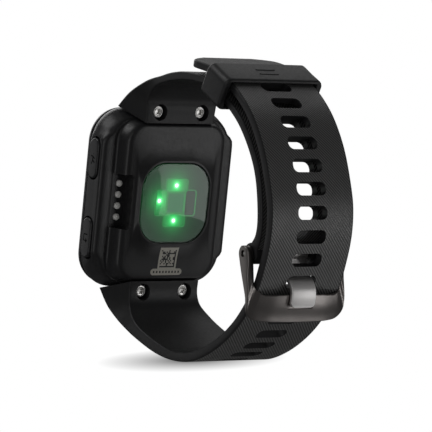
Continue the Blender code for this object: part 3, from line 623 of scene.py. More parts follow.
def make_sensor():
    """Floor, the chips on it under clear epoxy, and the thin frames round them."""
    edge = (WINDOW_HALF_X - 0.15, WINDOW_HALF_Z - 0.15, WINDOW_CORNER - 0.15)
    floor = plan_loft([(*edge, 11.4), (*edge, SENSOR_FLOOR_Y)], 14, 6)
    piece("sensor_floor_plate", floor, [floor_material()], stands_for="optical_mask")
    epoxy, idle = package_material(), plain_detail("idle_epoxy", (0.012, 0.05, 0.025), 0.15)
    # The chips' thin frames glow green: a painted glow standing for the emitters' light on them.
    painted_glow_frame_look = adjusted(plain_detail("emitter_frame_painted_glow", (0.03, 0.12, 0.06), 0.3),
                          {"Emission Color": (*GLOW_GREEN, 1.0), "Emission Strength": 0.5})
    for name, glow_offset in EMITTERS.items():
        centre, low, high = node_mm(name)
        centre += SENSOR_SHIFT
        size_x, size_z = high.x - low.x, high.z - low.z
        half_x = size_x / 2 + EMITTER_MARGIN[size_x > size_z]
        half_z = size_z / 2 + EMITTER_MARGIN[size_z > size_x]
        body = chip_loft(centre, [(half_x, half_z, 0.55, -0.2), (half_x, half_z, 0.55, 0.12),
                                  (half_x - 0.1, half_z - 0.1, 0.45, 0.2)])
        piece(name + "_body", body, [epoxy if glow_offset else idle], stands_for=name)
        chip_frame(name + "_frame", centre, half_x + 0.06, half_z + 0.06, 0.6, painted_glow_frame_look, 0.12)
    centre, low, high = node_mm("photodiode")
    centre += SENSOR_SHIFT
    half = (high.x - low.x) / 2 + 0.2
    chip = chip_loft(centre, [(half, half, 0.2, -0.1), (half, half, 0.2, 0.14)])
    piece("photodiode_face", chip, [photodiode_material()], stands_for="photodiode")
    chip_frame("photodiode_frame", centre, half + 0.05, half + 0.05, 0.25, painted_glow_frame_look, 0.08)


# ---- buttons, contacts, screws

# Inset, and depth under the face, of the rings round a cap's edge.
CAP_EDGE = [(0.0, 0.45), (0.04, 0.27), (0.14, 0.12), (0.28, 0.03), (0.45, 0.0)]
ICON_SCALE = 1.3
ICONS = {                      # strokes in the cap's face: depth (Y) and height (Z) from its centre
    "run": [[(-0.35, -1.05), (0.0, -0.45), (0.05, 0.25)], [(0.05, -0.35), (0.6, -0.75)],
            [(-0.6, 0.35), (0.05, 0.3), (0.55, -0.05)], [(0.1, 0.72), (0.12, 0.8)]],
    "back": [[(0.55, 0.6), (-0.5, 0.6), (-0.55, -0.5), (0.35, -0.5)],
             [(0.1, -0.2), (0.45, -0.5), (0.1, -0.8)]],
    "light": [[(0.0, -0.5), (0.4, -0.25), (0.4, 0.25), (0.0, 0.5), (-0.4, 0.25), (-0.4, -0.25),
               (0.0, -0.5)],
              [(0.0, 0.8), (0.0, 1.05)], [(0.0, -0.8), (0.0, -1.05)]],
    "page": [[(-0.5, 0.35), (0.0, -0.25), (0.5, 0.35)]],
}
STROKE_HALF = 0.13


def make_button(label):
    """Pill cap with a soft edge and a thin generic icon on its face."""
    side = CORNERS[label][0]
    node, body = "button_cap_" + label, label + "_button"
    centre, low, high = node_mm(node)
    face, back = (high.x, low.x) if side > 0 else (low.x, high.x)
    half_y, half_z = (high.y - low.y) / 2, (high.z - low.z) / 2
    rings = [side_ring(x, centre.y, centre.z, half_y - inset, half_z - inset, half_y - inset - 0.01, 14)
             for inset, x in [(0.0, back)] + [(inset, face - side * depth) for inset, depth in CAP_EDGE]]
    piece(node + "_face", loft_mesh(rings), [BUTTON_BLACK], body, 40, stands_for=node)
    for number, stroke in enumerate(ICONS[label], start=1):
        mesh = stroke_mesh(stroke, face + side * 0.015, face - side * 0.1, centre)
        piece("icon_%s_%d" % (label, number), mesh, [INK], body)


def stroke_mesh(stroke, lift_x, sink_x, centre):
    """Thin line along a stroke of an icon, from just over the cap's face to just under it."""
    points = [(a * ICON_SCALE, b * ICON_SCALE) for a, b in stroke]
    rings = []
    for i, (a, b) in enumerate(points):
        before, after = points[max(i - 1, 0)], points[min(i + 1, len(points) - 1)]
        length = math.dist(before, after)
        across_y = -(after[1] - before[1]) / length * STROKE_HALF
        across_z = (after[0] - before[0]) / length * STROKE_HALF
        y, z = centre.y + a, centre.z + b
        rings.append([(x, y + side * across_y, z + side * across_z)
                      for x, side in ((lift_x, 1), (lift_x, -1), (sink_x, -1), (sink_x, 1))])
    return loft_mesh(rings)


SLIT_TURN = 50                 # degrees, of the slit in each contact's tip


def make_contacts():
    for number, z in enumerate(CONTACT_HEIGHTS, start=1):
        node = "charge_contact_%d" % number
        _, low, high = node_mm(node)
        tip = high.y
        profile = [(0.001, low.y), (0.75, low.y), (0.75, tip - 0.22), (0.7, tip - 0.11), (0.6, tip - 0.04),
                   (0.4, tip), (0.001, tip)]
        slit = box_mesh((CONTACT_X - 0.09, tip - 0.12, z - 0.9), (CONTACT_X + 0.09, tip + 0.2, z + 0.9))
        move = Matrix.Translation((CONTACT_X * MM, 0.0, z * MM))
        slit.transform(move @ Matrix.Rotation(math.radians(SLIT_TURN), 4, "Y") @ move.inverted())
        pin = boolean(turned_mesh(profile, Vector((CONTACT_X, 0.0, z)), 32), [slit], "DIFFERENCE")
        piece("contact_pin_%d" % number, pin, [CONTACT_PLATING], stands_for=node)


def screw_mesh(centre, low, high):
    """Shank and dished head, with a six-lobed socket."""
    profile = [(0.001, low), (0.55, low), (0.6, low + 0.1), (0.6, high - 0.85), (1.3, high - 0.85),
               (1.45, high - 0.7), (1.45, high - 0.22), (1.36, high - 0.08), (1.2, high), (1.02, high),
               (0.92, high - 0.06), (0.001, high - 0.1)]
    lobes = []
    for i in range(48):
        angle = 2 * math.pi * i / 48
        reach = 0.66 + 0.13 * math.cos(6 * angle)
        lobes.append((centre.x + reach * math.cos(angle), centre.z + reach * math.sin(angle)))
    socket = outline_loft(lobes, (high - 0.6, high + 0.5))
    return boolean(turned_mesh(profile, centre, 48), [socket], "DIFFERENCE")


def make_screws():
    for side_x in (1, -1):
        for side_z in (1, -1):
            label = SIDES[side_z][0] + SIDES[side_x][1]
            centre, low, high = node_mm("strap_screw_" + label)
            piece("screw_" + label, screw_mesh(centre, low.y, high.y), [SILVER], smooth=30,
                  stands_for="strap_screw_" + label)


# ---- straps

STRAP_HALF = 11.2              # half width
TAB_WIDTHS = [(12.4, 9.5), (12.2, 9.5), (11.9, 9.9), (11.5, 10.8)]   # outside and inside, near the case
TAIL_END_HALF = 7.0
UPPER_EDGES = [                # Y and Z of the outer face, then of the inner face
    (4.3, 20.85, 11.8, 17.95), (7.1, 23.75, 11.8, 20.6), (9.7, 25.75, 12.2, 23.2), (13.7, 28.0, 15.2, 26.2),
    (17.7, 29.4, 18.6, 27.8), (21.7, 30.7, 22.2, 28.9), (27.0, 31.6, 27.2, 29.8), (34.2, 31.5, 33.9, 29.9),
    (40.0, 29.9, 39.3, 28.3), (45.3, 27.0, 44.4, 25.6), (50.1, 23.5, 48.9, 22.3), (54.7, 18.3, 53.3, 17.3),
    (57.7, 12.9, 56.1, 12.2), (59.6, 5.8, 57.9, 5.4), (59.9, 1.0, 58.0, 1.0), (58.9, -2.6, 56.4, -1.6),
]
LOWER_EDGES = [
    (3.8, -20.85, 11.8, -17.95), (7.0, -24.2, 11.8, -20.8), (10.3, -26.4, 12.8, -23.3),
    (14.1, -28.3, 15.6, -25.5), (18.6, -29.9, 19.6, -27.2), (25.5, -31.4, 25.8, -28.8),
    (32.0, -31.76, 31.8, -29.6), (38.8, -30.7, 38.2, -28.6), (44.8, -28.0, 43.7, -26.3),
    (50.2, -24.3, 48.9, -22.9), (54.6, -20.2, 53.1, -19.0), (57.9, -15.9, 56.2, -14.9),
    (60.4, -11.2, 58.6, -10.6), (62.0, -6.2, 60.1, -5.9), (63.2, 0.8, 61.4, 0.7), (62.8, 7.2, 61.05, 6.7),
    (60.8, 13.0, 59.2, 12.3), (57.3, 19.9, 55.9, 18.9), (52.4, 26.0, 51.2, 24.8), (46.5, 30.4, 45.6, 28.9),
    (41.0, 32.9, 40.4, 31.2), (35.5, 34.2, 35.2, 32.5), (30.0, 34.7, 29.9, 33.0), (26.9, 34.8, 26.9, 33.2),
]
EDGE_ROUND = 0.45
SMOOTH_BAND = 0.5              # width of the ridge-free margin along each edge
STRAP_STEPS = 6
UPPER_RIDGES = (9.0, 200.0)    # distances along the strap between which its face is ridged
LOWER_RIDGES = (9.0, 137.0)
SLOT_HALF = (3.9, 1.5)
SLOT_CORNER = 1.3
SLOT_PITCH = 5.05
FIRST_UPPER_SLOT = (58.9, 5.5)
LEVEL_SLOT = (62.3, 1.2)       # the lower strap's slot beside the case's middle
PIN_CENTRE = node_mm("spring_bar")[0]
PIN_BORE = 0.75


def with_widths(edges, end_half):
    """Strap stations: edge points and half widths outside and inside."""
    plain = len(edges) - len(TAB_WIDTHS) - 1
    widths = TAB_WIDTHS + [(STRAP_HALF, STRAP_HALF)] * plain + [(end_half, end_half)]
    return [(*edge, *width) for edge, width in zip(edges, widths)]


def strap_section(station):
    """Closed section: flat outside with a ridged middle, rounded edges, flat inside."""
    out_y, out_z, in_y, in_z, half_out, half_in = station
    depth = math.dist((out_y, out_z), (in_y, in_z))
    inward = ((in_y - out_y) / depth, (in_z - out_z) / depth)

    def at(x, drop):
        return (x, out_y + inward[0] * drop, out_z + inward[1] * drop)

    bends = [(EDGE_ROUND * (1 - math.cos(angle)), EDGE_ROUND * (1 - math.sin(angle)))
             for angle in map(math.radians, (0, 30, 60, 90))]
    right = [at(half_out - SMOOTH_BAND, 0.0)]
    right += [at(half_out - inset, drop) for inset, drop in bends[::-1]]
    right += [at(half_in - inset, depth - drop) for inset, drop in bends]
    right.append(at(half_in * 0.5, depth))
    return right + [(-x, y, z) for x, y, z in right[::-1]]


def strap_mesh(stations, ridge_range):
    """Band through the stations, with flat coordinates and the ridged material on its outside."""
    dense = smooth_path(stations, STRAP_STEPS)
    rings = [strap_section(station) for station in dense]
    travelled = [0.0]
    for near, far in zip(dense, dense[1:]):
        travelled.append(travelled[-1] + math.dist(near[:2], far[:2]))
    mesh = loft_mesh(rings)
    flat = mesh.uv_layers.new(name="flat")
    count = len(rings[0])
    for face in mesh.polygons:
        for loop in face.loop_indices:
            vertex = mesh.loops[loop].vertex_index
            flat.data[loop].uv = (mesh.vertices[vertex].co.x / MM, travelled[vertex // count])
        outside = {vertex % count for vertex in face.vertices} == {0, count - 1} and len(face.vertices) == 4
        start = travelled[min(face.vertices) // count]
        face.material_index = 1 if outside and ridge_range[0] < start < ridge_range[1] else 0
    return mesh


def midline(stations):
    return [((s[0] + s[2]) / 2, (s[1] + s[3]) / 2) for s in smooth_path(stations, 4)]


def distance_to(path, y, z):
    """How far along the path its nearest point to (y, z) lies."""
    travelled, best, found = 0.0, math.inf, 0.0
    for near, far in zip(path, path[1:]):
        length = math.dist(near, far)
        dir_y, dir_z = (far[0] - near[0]) / length, (far[1] - near[1]) / length
        along = min(length, max(0.0, (y - near[0]) * dir_y + (z - near[1]) * dir_z))
        reach = math.dist((near[0] + dir_y * along, near[1] + dir_z * along), (y, z))
        if reach < best:
            best, found = reach, travelled + along
        travelled += length
    return found


def point_along(path, distance):
    """Position and direction at a distance down the path."""
    for near, far in zip(path, path[1:]):
        length = math.dist(near, far)
        if distance <= length:
            position = tuple(a + (b - a) * (distance / length) for a, b in zip(near, far))
            return position, tuple((b - a) / length for a, b in zip(near, far))
        distance -= length
    raise ValueError("the path ends before that distance")


def slot_cutter(path, distance):
    """Rounded slot through the strap: its length along X, its depth off the strap's face."""
    outline = rounded_outline(*SLOT_HALF, SLOT_CORNER, 8)
    mesh = loft_mesh([[(a, b, -3.0) for a, b in outline], [(a, b, 3.0) for a, b in outline]])
    (y, z), (dir_y, dir_z) = point_along(path, distance)
    mesh.transform(Matrix(((1, 0, 0, 0), (0, dir_y, -dir_z, y * MM), (0, dir_z, dir_y, z * MM),
                           (0, 0, 0, 1))))
    return mesh


def pin_cylinder(radius, length, sides):
    """Cylinder about the spring bar's axis."""
    return cylinder_mesh((0.0, PIN_CENTRE.y, PIN_CENTRE.z), radius, length, "X", sides)


def tab_cutters(side):
    """Pocket for the case's tongue and the stepped screw holes."""
    low_z, high_z = sorted((side * 16.0, side * 22.4))
    cutters = [box_mesh((-8.9, 7.1, low_z), (8.9, 9.3, high_z))]
    for side_x in (1, -1):
        x, z = side_x * SCREW_CENTRE.x, side * SCREW_CENTRE.z
        cutters.append(cylinder_mesh((x, 11.7, z), 1.87, 4.0, "Y"))
        cutters.append(cylinder_mesh((x, 10.0, z), 0.9, 3.0, "Y", 32))
    return cutters


def make_upper_strap():
    """Buckle half, with a knuckle round the spring bar and a gap in it for the prong."""
    stations = with_widths(UPPER_EDGES, STRAP_HALF)
    path = midline(stations)
    first = distance_to(path, *FIRST_UPPER_SLOT)
    band = strap_mesh(stations, UPPER_RIDGES)
    band = boolean(band, [bevelled(pin_cylinder(2.3, 22.4, 64), 0.3)], "UNION")
    cutters = tab_cutters(1) + [slot_cutter(path, first - SLOT_PITCH * i) for i in range(5)]
    cutters.append(box_mesh((-4.0, PIN_CENTRE.y - 3.0, PIN_CENTRE.z - 3.0),
                            (4.0, PIN_CENTRE.y + 3.2, PIN_CENTRE.z + 2.3)))
    cutters.append(pin_cylinder(PIN_BORE, 30.0, 32))
    piece("strap_upper_band", boolean(band, cutters, "DIFFERENCE"), [SILICONE, RIDGED],
          smooth=30, stands_for="strap_upper")


def make_lower_strap():
    stations = with_widths(LOWER_EDGES, TAIL_END_HALF)
    path = midline(stations)
    level = distance_to(path, *LEVEL_SLOT)
    band = strap_mesh(stations, LOWER_RIDGES)
    cutters = tab_cutters(-1) + [slot_cutter(path, level + SLOT_PITCH * i) for i in range(-9, 9)]
    piece("strap_lower_band", boolean(band, cutters, "DIFFERENCE"), [SILICONE, RIDGED],
          smooth=30, stands_for="strap_lower")


# ---- buckle

FRAME_MIDLINE = [(57.0, -3.4), (58.15, -6.7), (59.35, -10.0), (60.15, -12.6), (60.2, -15.0), (59.6, -17.9)]
FRAME_OUTER_X = 13.1
FRAME_INNER_X = 11.5
FRAME_OUTER_S = 14.6           # distance down the frame of the crossbar's lower and upper edges
FRAME_INNER_S = 9.1
FRAME_BOW = 1.25               # how far the crossbar's middle stands out from its ends
SEAT_S = (7.6, 11.8)           # distances down the frame between which the prong's seat lies
SEAT_SIDES = ((3.45, 0.15), (3.45, 4.0), (-3.45, 4.0), (-3.45, 0.15))
OUTER_CORNER = 2.9
INNER_CORNER = 2.7
ARM_END = 1.7                  # radius of the arms' ends, round the spring bar
CROSSBAR_HALF = 0.8
EDGE_STEPS = 12


def bent_point(path, x, s, n):
    """Point at X, distance s down the frame and n off its middle surface."""
    (y, z), direction = point_along(path, max(s, 0.0))
    if s < 0:
        y, z = y + direction[0] * s, z + direction[1] * s
    else:
        n += FRAME_BOW * smoothstep(7.0, 9.5, s) * (1 - min(1.0, abs(x) / FRAME_OUTER_X) ** 2)
    return (x, y - direction[1] * n, z + direction[0] * n)


def frame_edges():
    """Matching points of the right half's outer and inner edges: X and distance down the frame."""
    pairs = []
    for i in range(9):
        s = -ARM_END * math.cos(math.pi / 2 * i / 8)
        pairs.append(((FRAME_OUTER_X, s), (FRAME_INNER_X, s)))
    outer_start, inner_start = FRAME_OUTER_S - OUTER_CORNER, FRAME_INNER_S - INNER_CORNER
    for i in range(1, EDGE_STEPS):
        share = i / EDGE_STEPS
        pairs.append(((FRAME_OUTER_X, outer_start * share), (FRAME_INNER_X, inner_start * share)))
    for i in range(EDGE_STEPS + 1):
        angle = math.pi / 2 * i / EDGE_STEPS
        pairs.append(((FRAME_OUTER_X - OUTER_CORNER * (1 - math.cos(angle)),
                       outer_start + OUTER_CORNER * math.sin(angle)),
                      (FRAME_INNER_X - INNER_CORNER * (1 - math.cos(angle)),
                       inner_start + INNER_CORNER * math.sin(angle))))
    for i in range(1, EDGE_STEPS + 1):
        share = 1 - i / EDGE_STEPS
        pairs.append((((FRAME_OUTER_X - OUTER_CORNER) * share, FRAME_OUTER_S),
                      ((FRAME_INNER_X - INNER_CORNER) * share, FRAME_INNER_S)))
    return pairs


def frame_half_thick(s):
    """Half the plate's thickness: a round end at the pin, thick arms, a thinner crossbar."""
    if s < 0:
        return math.sqrt(max(0.02, (ARM_END + 0.02) ** 2 - s * s))
    return ARM_END - (ARM_END - CROSSBAR_HALF) * smoothstep(0.0, 10.5, s)


def outward_slant(x, s):
    """How far the outward face falls towards the frame's outer edge."""
    return 0.75 * smoothstep(1.5, 6.0, s) * (0.35 + 0.65 * smoothstep(7.0, 12.0, abs(x)))


def frame_ring(path, outer, inner):
    """Section of the frame between matching points of its two edges."""
    width = math.dist(outer, inner)
    across = ((inner[0] - outer[0]) / width, (inner[1] - outer[1]) / width)
    half = frame_half_thick((outer[1] + inner[1]) / 2)
    slant = outward_slant(*outer)
    ring = []
    for a, b in rounded_outline(width / 2, half, min(0.4, half * 0.45, width * 0.3), 3):
        along = width / 2 + a
        if b > 0:
            b -= slant * (1 - along / width)
        ring.append(bent_point(path, outer[0] + across[0] * along, outer[1] + across[1] * along, b))
    return ring


def make_buckle_frame():
    path = smooth_path(FRAME_MIDLINE, 8)
    right = frame_edges()
    left = [((-outer[0], outer[1]), (-inner[0], inner[1])) for outer, inner in right[-2::-1]]
    body = loft_mesh([frame_ring(path, outer, inner) for outer, inner in right + left])
    stops = [SEAT_S[0] + (SEAT_S[1] - SEAT_S[0]) * i / 8 for i in range(9)]
    seat = loft_mesh([[bent_point(path, x, s, n) for x, n in SEAT_SIDES] for s in stops])
    body = boolean(body, [pin_cylinder(PIN_BORE, 30.0, 32), bevelled(seat, 0.3)], "DIFFERENCE")
    piece("buckle_frame_body", body, [GUNMETAL], "buckle", 38, stands_for="buckle_frame")


PRONG_PATH = [(57.9, -4.6), (58.7, -6.7), (59.7, -8.0), (61.2, -9.1), (62.2, -10.5), (62.5, -11.9),
              (62.45, -13.2), (62.32, -14.2)]
PRONG_HALF_X = 3.25
PRONG_THICK = 1.0
PRONG_CORNER = 1.0             # rounding of the tip's corners, seen face on
PRONG_FILLET = 0.24


def make_prong():
    path = smooth_path(PRONG_PATH, 6)
    total = sum(math.dist(a, b) for a, b in zip(path, path[1:])) - 1e-3
    stops = [total * i / 28 * (1 - PRONG_CORNER / total) for i in range(28)]
    stops += [total - PRONG_CORNER * math.cos(math.pi / 2 * i / 8) for i in range(9)]
    rings = []
    for stop in stops:
        (y, z), direction = point_along(path, stop)
        into_tip = max(0.0, (stop - (total - PRONG_CORNER)) / PRONG_CORNER)
        half_x = PRONG_HALF_X - PRONG_CORNER * (1 - math.sqrt(max(0.0, 1 - into_tip ** 2)))
        rings.append([(a, y - direction[1] * b, z + direction[0] * b)
                      for a, b in rounded_outline(half_x, PRONG_THICK / 2, PRONG_FILLET, 4)])
    leaf = boolean(loft_mesh(rings), [bevelled(pin_cylinder(1.65, 6.5, 48), 0.2)], "UNION")
    leaf = boolean(leaf, [pin_cylinder(PIN_BORE, 10.0, 32)], "DIFFERENCE")
    piece("buckle_prong_leaf", leaf, [PRONG_STEEL], "prong", 38, stands_for="buckle_prong")


def make_spring_bar():
    centre, low, high = node_mm("spring_bar")
    profile = [(low.x, 0.3), (low.x + 0.1, 0.5), (low.x + 0.25, 0.6),
               (high.x - 0.25, 0.6), (high.x - 0.1, 0.5), (high.x, 0.3)]
    rod = loft_mesh([[(x, y, z) for y, z in circle(centre.y, centre.z, radius, 32)]
                     for x, radius in profile])
    piece("spring_bar_rod", rod, [SILVER], stands_for="spring_bar")


# ---- keeper

KEEPER_LEAN = math.radians(-22.0)
KEEPER_HALF = (13.2, 3.85)
KEEPER_OPENING = (11.6, 3.0)
KEEPER_LENGTH = 7.7
KEEPER_CORNER = 1.7
# Shrink and inset of the rolled ends, then shrink, corner radius and inset of the opening's lip.
KEEPER_ROLL = [(0.62, 0.0), (0.4, 0.04), (0.18, 0.18), (0.05, 0.42), (0.0, 0.75)]
KEEPER_LIP = [(0.0, 0.5, 0.3), (-0.12, 0.55, 0.08)]


def keeper_ring(half, shrink, radius, along):
    return [(a, along, b) for a, b in rounded_outline(half[0] - shrink, half[1] - shrink, radius, 8, 6)]


def keeper_end(side):
    """Rings from inside the opening round one rolled end to the outer face."""
    end = side * KEEPER_LENGTH / 2
    return ([keeper_ring(KEEPER_OPENING, shrink, radius, end - side * inset)
             for shrink, radius, inset in KEEPER_LIP]
            + [keeper_ring(KEEPER_HALF, shrink, KEEPER_CORNER - shrink, end - side * inset)
               for shrink, inset in KEEPER_ROLL])


def make_keeper():
    """Loop with rounded corners and rolled ends, and a pair of plain ribs on its outer face."""
    centre = node_mm("strap_keeper")[0]
    place = Matrix.Translation(centre * MM) @ Matrix.Rotation(KEEPER_LEAN, 4, "X")
    middle = keeper_ring(KEEPER_HALF, 0.05, KEEPER_CORNER, 0.0)
    loop = loft_mesh(keeper_end(-1) + [middle] + keeper_end(1)[::-1], closed=True)
    loop.transform(place)
    piece("keeper_loop", loop, [SILICONE], "keeper", stands_for="strap_keeper")
    outline = rounded_outline(2.6, 0.28, 0.27, 6)
    for number, along in enumerate((-0.9, 0.9), start=1):
        rib = loft_mesh([[(a * narrow, along + b * thin, KEEPER_HALF[1] + lift) for a, b in outline]
                         for narrow, thin, lift in ((1, 1, -0.3), (1, 1, 0.03), (0.97, 0.7, 0.1))])
        rib.transform(place)
        piece("keeper_rib_%d" % number, rib, [SILICONE], "keeper")


# ---- etched panel on the back

PANEL_LIFT = 0.12              # thickness of the etched sheets
CODE_CELLS = 12
CODE_HALF = 2.05
CODE_CENTRE_Z = -12.75
CODE_SIZE = 2 * CODE_HALF / CODE_CELLS
PLATE_HALF = (2.5, 2.6)
BAR_HALF_X = 4.3
BAR_TOP_Z = -15.1
BAR_TALL = 1.5
DASH_SPREAD = 3.4
DASH_Z = -15.85


def case_surface():
    """Function giving the back's Y at an X and Z, in millimetres."""
    shell = bpy.data.objects["case_shell"]
    tree = BVHTree.FromObject(shell, bpy.context.evaluated_depsgraph_get())

    def height(x, z):
        hit = tree.ray_cast(Vector((x, 30.0, z)) * MM, Vector((0.0, -1.0, 0.0)))
        return hit[0].y / MM
    return height


def draped_mesh(outline_rows, height, lift):
    """Thin sheet laid on the back through a grid of X and Z points."""
    def build(bm):
        rows = [[bm.verts.new((x * MM, (height(x, z) + lift) * MM, z * MM)) for x, z in row]
                for row in outline_rows]
        for near, far in zip(rows, rows[1:]):
            for i in range(len(near) - 1):
                bm.faces.new((near[i], near[i + 1], far[i + 1], far[i]))
        bmesh.ops.recalc_face_normals(bm, faces=bm.faces)
        copy = bmesh.ops.duplicate(bm, geom=list(bm.faces))
        lower = [g for g in copy["geom"] if isinstance(g, bmesh.types.BMVert)]
        bmesh.ops.translate(bm, verts=lower, vec=(0.0, -PANEL_LIFT * MM, 0.0))
        bmesh.ops.bridge_loops(bm, edges=[e for e in bm.edges if e.is_boundary])
    return mesh_from(build)


def bar_row(i):
    """One row of the round-ended bar's grid, from its top down."""
    half = BAR_HALF_X - 0.55 * (1 - math.sqrt(max(0.0, 1 - ((i - 2) / 2) ** 2)))
    return [(-half + 2 * half * k / 12, BAR_TOP_Z - BAR_TALL * i / 4) for k in range(13)]


def mark(height, x, z, half_x, half_z, lift):
    """Flat dark box set into the back."""
    y = height(x, z)
    return box_mesh((x - half_x, y - 0.05, z - half_z), (x + half_x, y + lift, z + half_z))


def make_code_panel():
    """Light etched plate with a made-up grid of dark cells, over a plain bar with dashes."""
    height = case_surface()
    etched = plain_detail("etched_plate", (0.5, 0.48, 0.42), 0.5, 0.0, 0.2, 6.0)
    half_x, half_z = PLATE_HALF
    rows = [[(-half_x + 2 * half_x * k / 8, CODE_CENTRE_Z + half_z - 2 * half_z * i / 8) for k in range(9)]
            for i in range(9)]
    piece("code_plate", draped_mesh(rows, height, 0.02), [etched])
    bar = draped_mesh([bar_row(i) for i in range(5)], height, 0.03)
    piece("code_bar", bar, [etched])
    random.seed(35)
    made = []
    for i in range(CODE_CELLS):
        for k in range(CODE_CELLS):
            if i == CODE_CELLS - 1 or k == 0 or random.random() < 0.45:
                x = -CODE_HALF + CODE_SIZE * (k + 0.5)
                z = CODE_CENTRE_Z + CODE_HALF - CODE_SIZE * (i + 0.5)
                made.append(mark(height, x, z, CODE_SIZE * 0.5, CODE_SIZE * 0.5, 0.05))
    for k in range(9):
        made.append(mark(height, -DASH_SPREAD + 2 * DASH_SPREAD * k / 8, DASH_Z, 0.2, 0.25, 0.06))
    cells = plain_detail("etched_cells", (0.012, 0.012, 0.011), 0.5)
    piece("code_marks", joined(made), [cells])


# ---- front

RIM = [(15.45, 17.95, 5.4, 0.02), (15.6, 18.1, 5.6, 0.0), (15.75, 18.6, 6.0, 0.12), (16.5, 19.3, 6.8, 0.5),
       (17.1, 19.9, 7.3, 1.2), (17.28, 20.08, 7.5, 2.0), (17.2, 20.0, 7.45, 2.1)]
BEZEL_INSIDE = [(14.2, 16.8, 4.4, 2.1), (14.2, 16.8, 4.4, 1.5), (12.9, 14.9, 1.3, 1.42),
                (12.9, 14.9, 1.3, 1.34), (15.4, 17.9, 5.4, 1.3), (15.4, 17.9, 5.4, 0.12)]
GLASS = [(15.05, 17.65, 5.15, 1.18), (15.1, 17.7, 5.2, 1.1), (15.1, 17.7, 5.2, 0.14),
         (15.0, 17.6, 5.1, 0.03), (14.9, 17.5, 5.0, 0.0)]
PANEL_Y = node_mm("lcd_panel")[1].y            # face of the display panel
INK_THICK = 0.05
HOUR_HAND = (math.radians(305), -1.2, 6.2, 0.42)       # turn, start, end and half width
MINUTE_HAND = (math.radians(60), -1.6, 9.2, 0.3)


def make_front():
    """Bezel with a chamfered rim, and the glass set into it."""
    bezel = plan_loft(smooth_path(RIM, 3) + BEZEL_INSIDE, 14, 8, closed=True)
    piece("bezel_ring", bezel, [BEZEL_BLACK], smooth=30, stands_for="front_bezel")
    clear = glass_material("front_glass", (0.93, 0.95, 0.94))
    piece("front_glass_cover", plan_loft(GLASS, 14, 8), [clear], smooth=40,
          stands_for="front_lens")


def dial_material():
    """Reflective display at rest: grey-green ground with faint rows."""
    made, tree, shader = new_material("display_ground", (0.2, 0.215, 0.2), 0.3)
    rows = bands_value(tree, 3.0)
    colour = colour_between(tree, rows, (0.19, 0.205, 0.19), (0.215, 0.23, 0.215))
    set_inputs(tree, shader, {"Base Color": colour})
    return made


def radial_bar(angle, inner, outer, half, lift):
    """Flat bar pointing away from the dial's centre, clockwise from twelve as seen from the front."""
    along, across = (-math.sin(angle), math.cos(angle)), (math.cos(angle), math.sin(angle))
    outline = [(along[0] * reach + across[0] * side, along[1] * reach + across[1] * side)
               for reach, side in ((inner, -half), (outer, -half), (outer, half), (inner, half))]
    y = PANEL_Y - lift
    return outline_loft(outline, (y, y + INK_THICK))


def make_dial():
    """Display panel with hour and minute marks, hands and a ring, all of them plain shapes."""
    plate = plan_loft([(12.8, 14.8, 1.2, PANEL_Y + 0.75), (12.8, 14.8, 1.2, PANEL_Y)], 6)
    piece("display_plate", plate, [dial_material()], stands_for="lcd_panel")
    ink = plain_detail("display_ink", (0.012, 0.014, 0.013), 0.35)
    marks = []
    for hour in range(12):
        inner, half = (8.6, 0.38) if hour % 3 == 0 else (9.7, 0.2)
        marks.append(radial_bar(math.radians(30 * hour), inner, 11.2, half, 0.04))
    for minute in range(60):
        if minute % 5:
            marks.append(radial_bar(math.radians(6 * minute), 10.7, 11.2, 0.07, 0.04))
    piece("display_marks", joined(marks), [ink])
    hands = [radial_bar(*HOUR_HAND, 0.08), radial_bar(*MINUTE_HAND, 0.1)]
    piece("display_hands", joined(hands), [ink])
    ring = [[(x, PANEL_Y - lift, z) for z, x in circle(0.0, 0.0, radius, 96)]
            for radius, lift in ((11.5, 0.0), (11.5, 0.04), (11.9, 0.04), (11.9, 0.0))]
    accent = plain_detail("display_accent", (0.02, 0.16, 0.3), 0.35)
    piece("display_ring", loft_mesh(ring, closed=True), [accent])


# ---- inner parts kept from the CAD

def foil_material():
    """Soft pack foil: crumpled silver-grey."""
    made, tree, shader = new_material("cell_foil", (0.5, 0.5, 0.5), 0.35, 0.9)
    crumple = noise_value(tree, 0.5, 5.0)
    set_inputs(tree, shader, {"Roughness": ranged(tree, crumple, 0.25, 0.5)})
    add_bump(tree, shader, crumple, 0.15, 0.6)
    return made


def board_material(name, mask, copper):
    """Solder mask with a faint pattern of copper areas under it."""
    made, tree, shader = new_material(name, mask, 0.4)
    cells = add_node(tree, "ShaderNodeTexVoronoi", {"Vector": object_position(tree), "Scale": 0.6},
                     distance="MANHATTAN")
    areas = ranged(tree, cells.outputs["Distance"], 0.0, 1.0, 0.35, 0.4)
    set_inputs(tree, shader, {"Base Color": colour_between(tree, areas, mask, copper)})
    add_bump(tree, shader, noise_value(tree, 4.0), 0.01, 0.5)
    return made


def inner_looks():
    """Finish of each inner part, by the start of its node's name."""
    return {
        "battery_cell": foil_material(),
        "main_board": board_material("main_board_mask", (0.01, 0.07, 0.03), (0.03, 0.13, 0.05)),
        "sensor_board": board_material("sensor_board_mask", (0.008, 0.012, 0.02), (0.02, 0.03, 0.04)),
        "gps_antenna": plain_detail("antenna_ceramic", (0.6, 0.58, 0.5), 0.5),
        "display_flex": plain_detail("flex_film", (0.35, 0.13, 0.02), 0.35, 0.0, 0.2),
        "light_guide": plain_detail("light_guide_acrylic", (0.75, 0.78, 0.76), 0.2),
        "display_frame": plain_detail("frame_plastic", (0.7, 0.7, 0.68), 0.5),
        "case_gasket": plain_detail("gasket_rubber", (0.03, 0.02, 0.018), 0.55),
        "contact_block": plain_detail("contact_block_plastic", (0.02, 0.02, 0.022), 0.45),
        "tactile_switch": plain_detail("switch_metal", (0.55, 0.55, 0.55), 0.3, 0.9),
        "button_seal": DARK_RUBBER, "threaded_insert": BRASS, "vibration_motor_can": SILVER,
        "vibration_motor_weight": BRASS,
    }


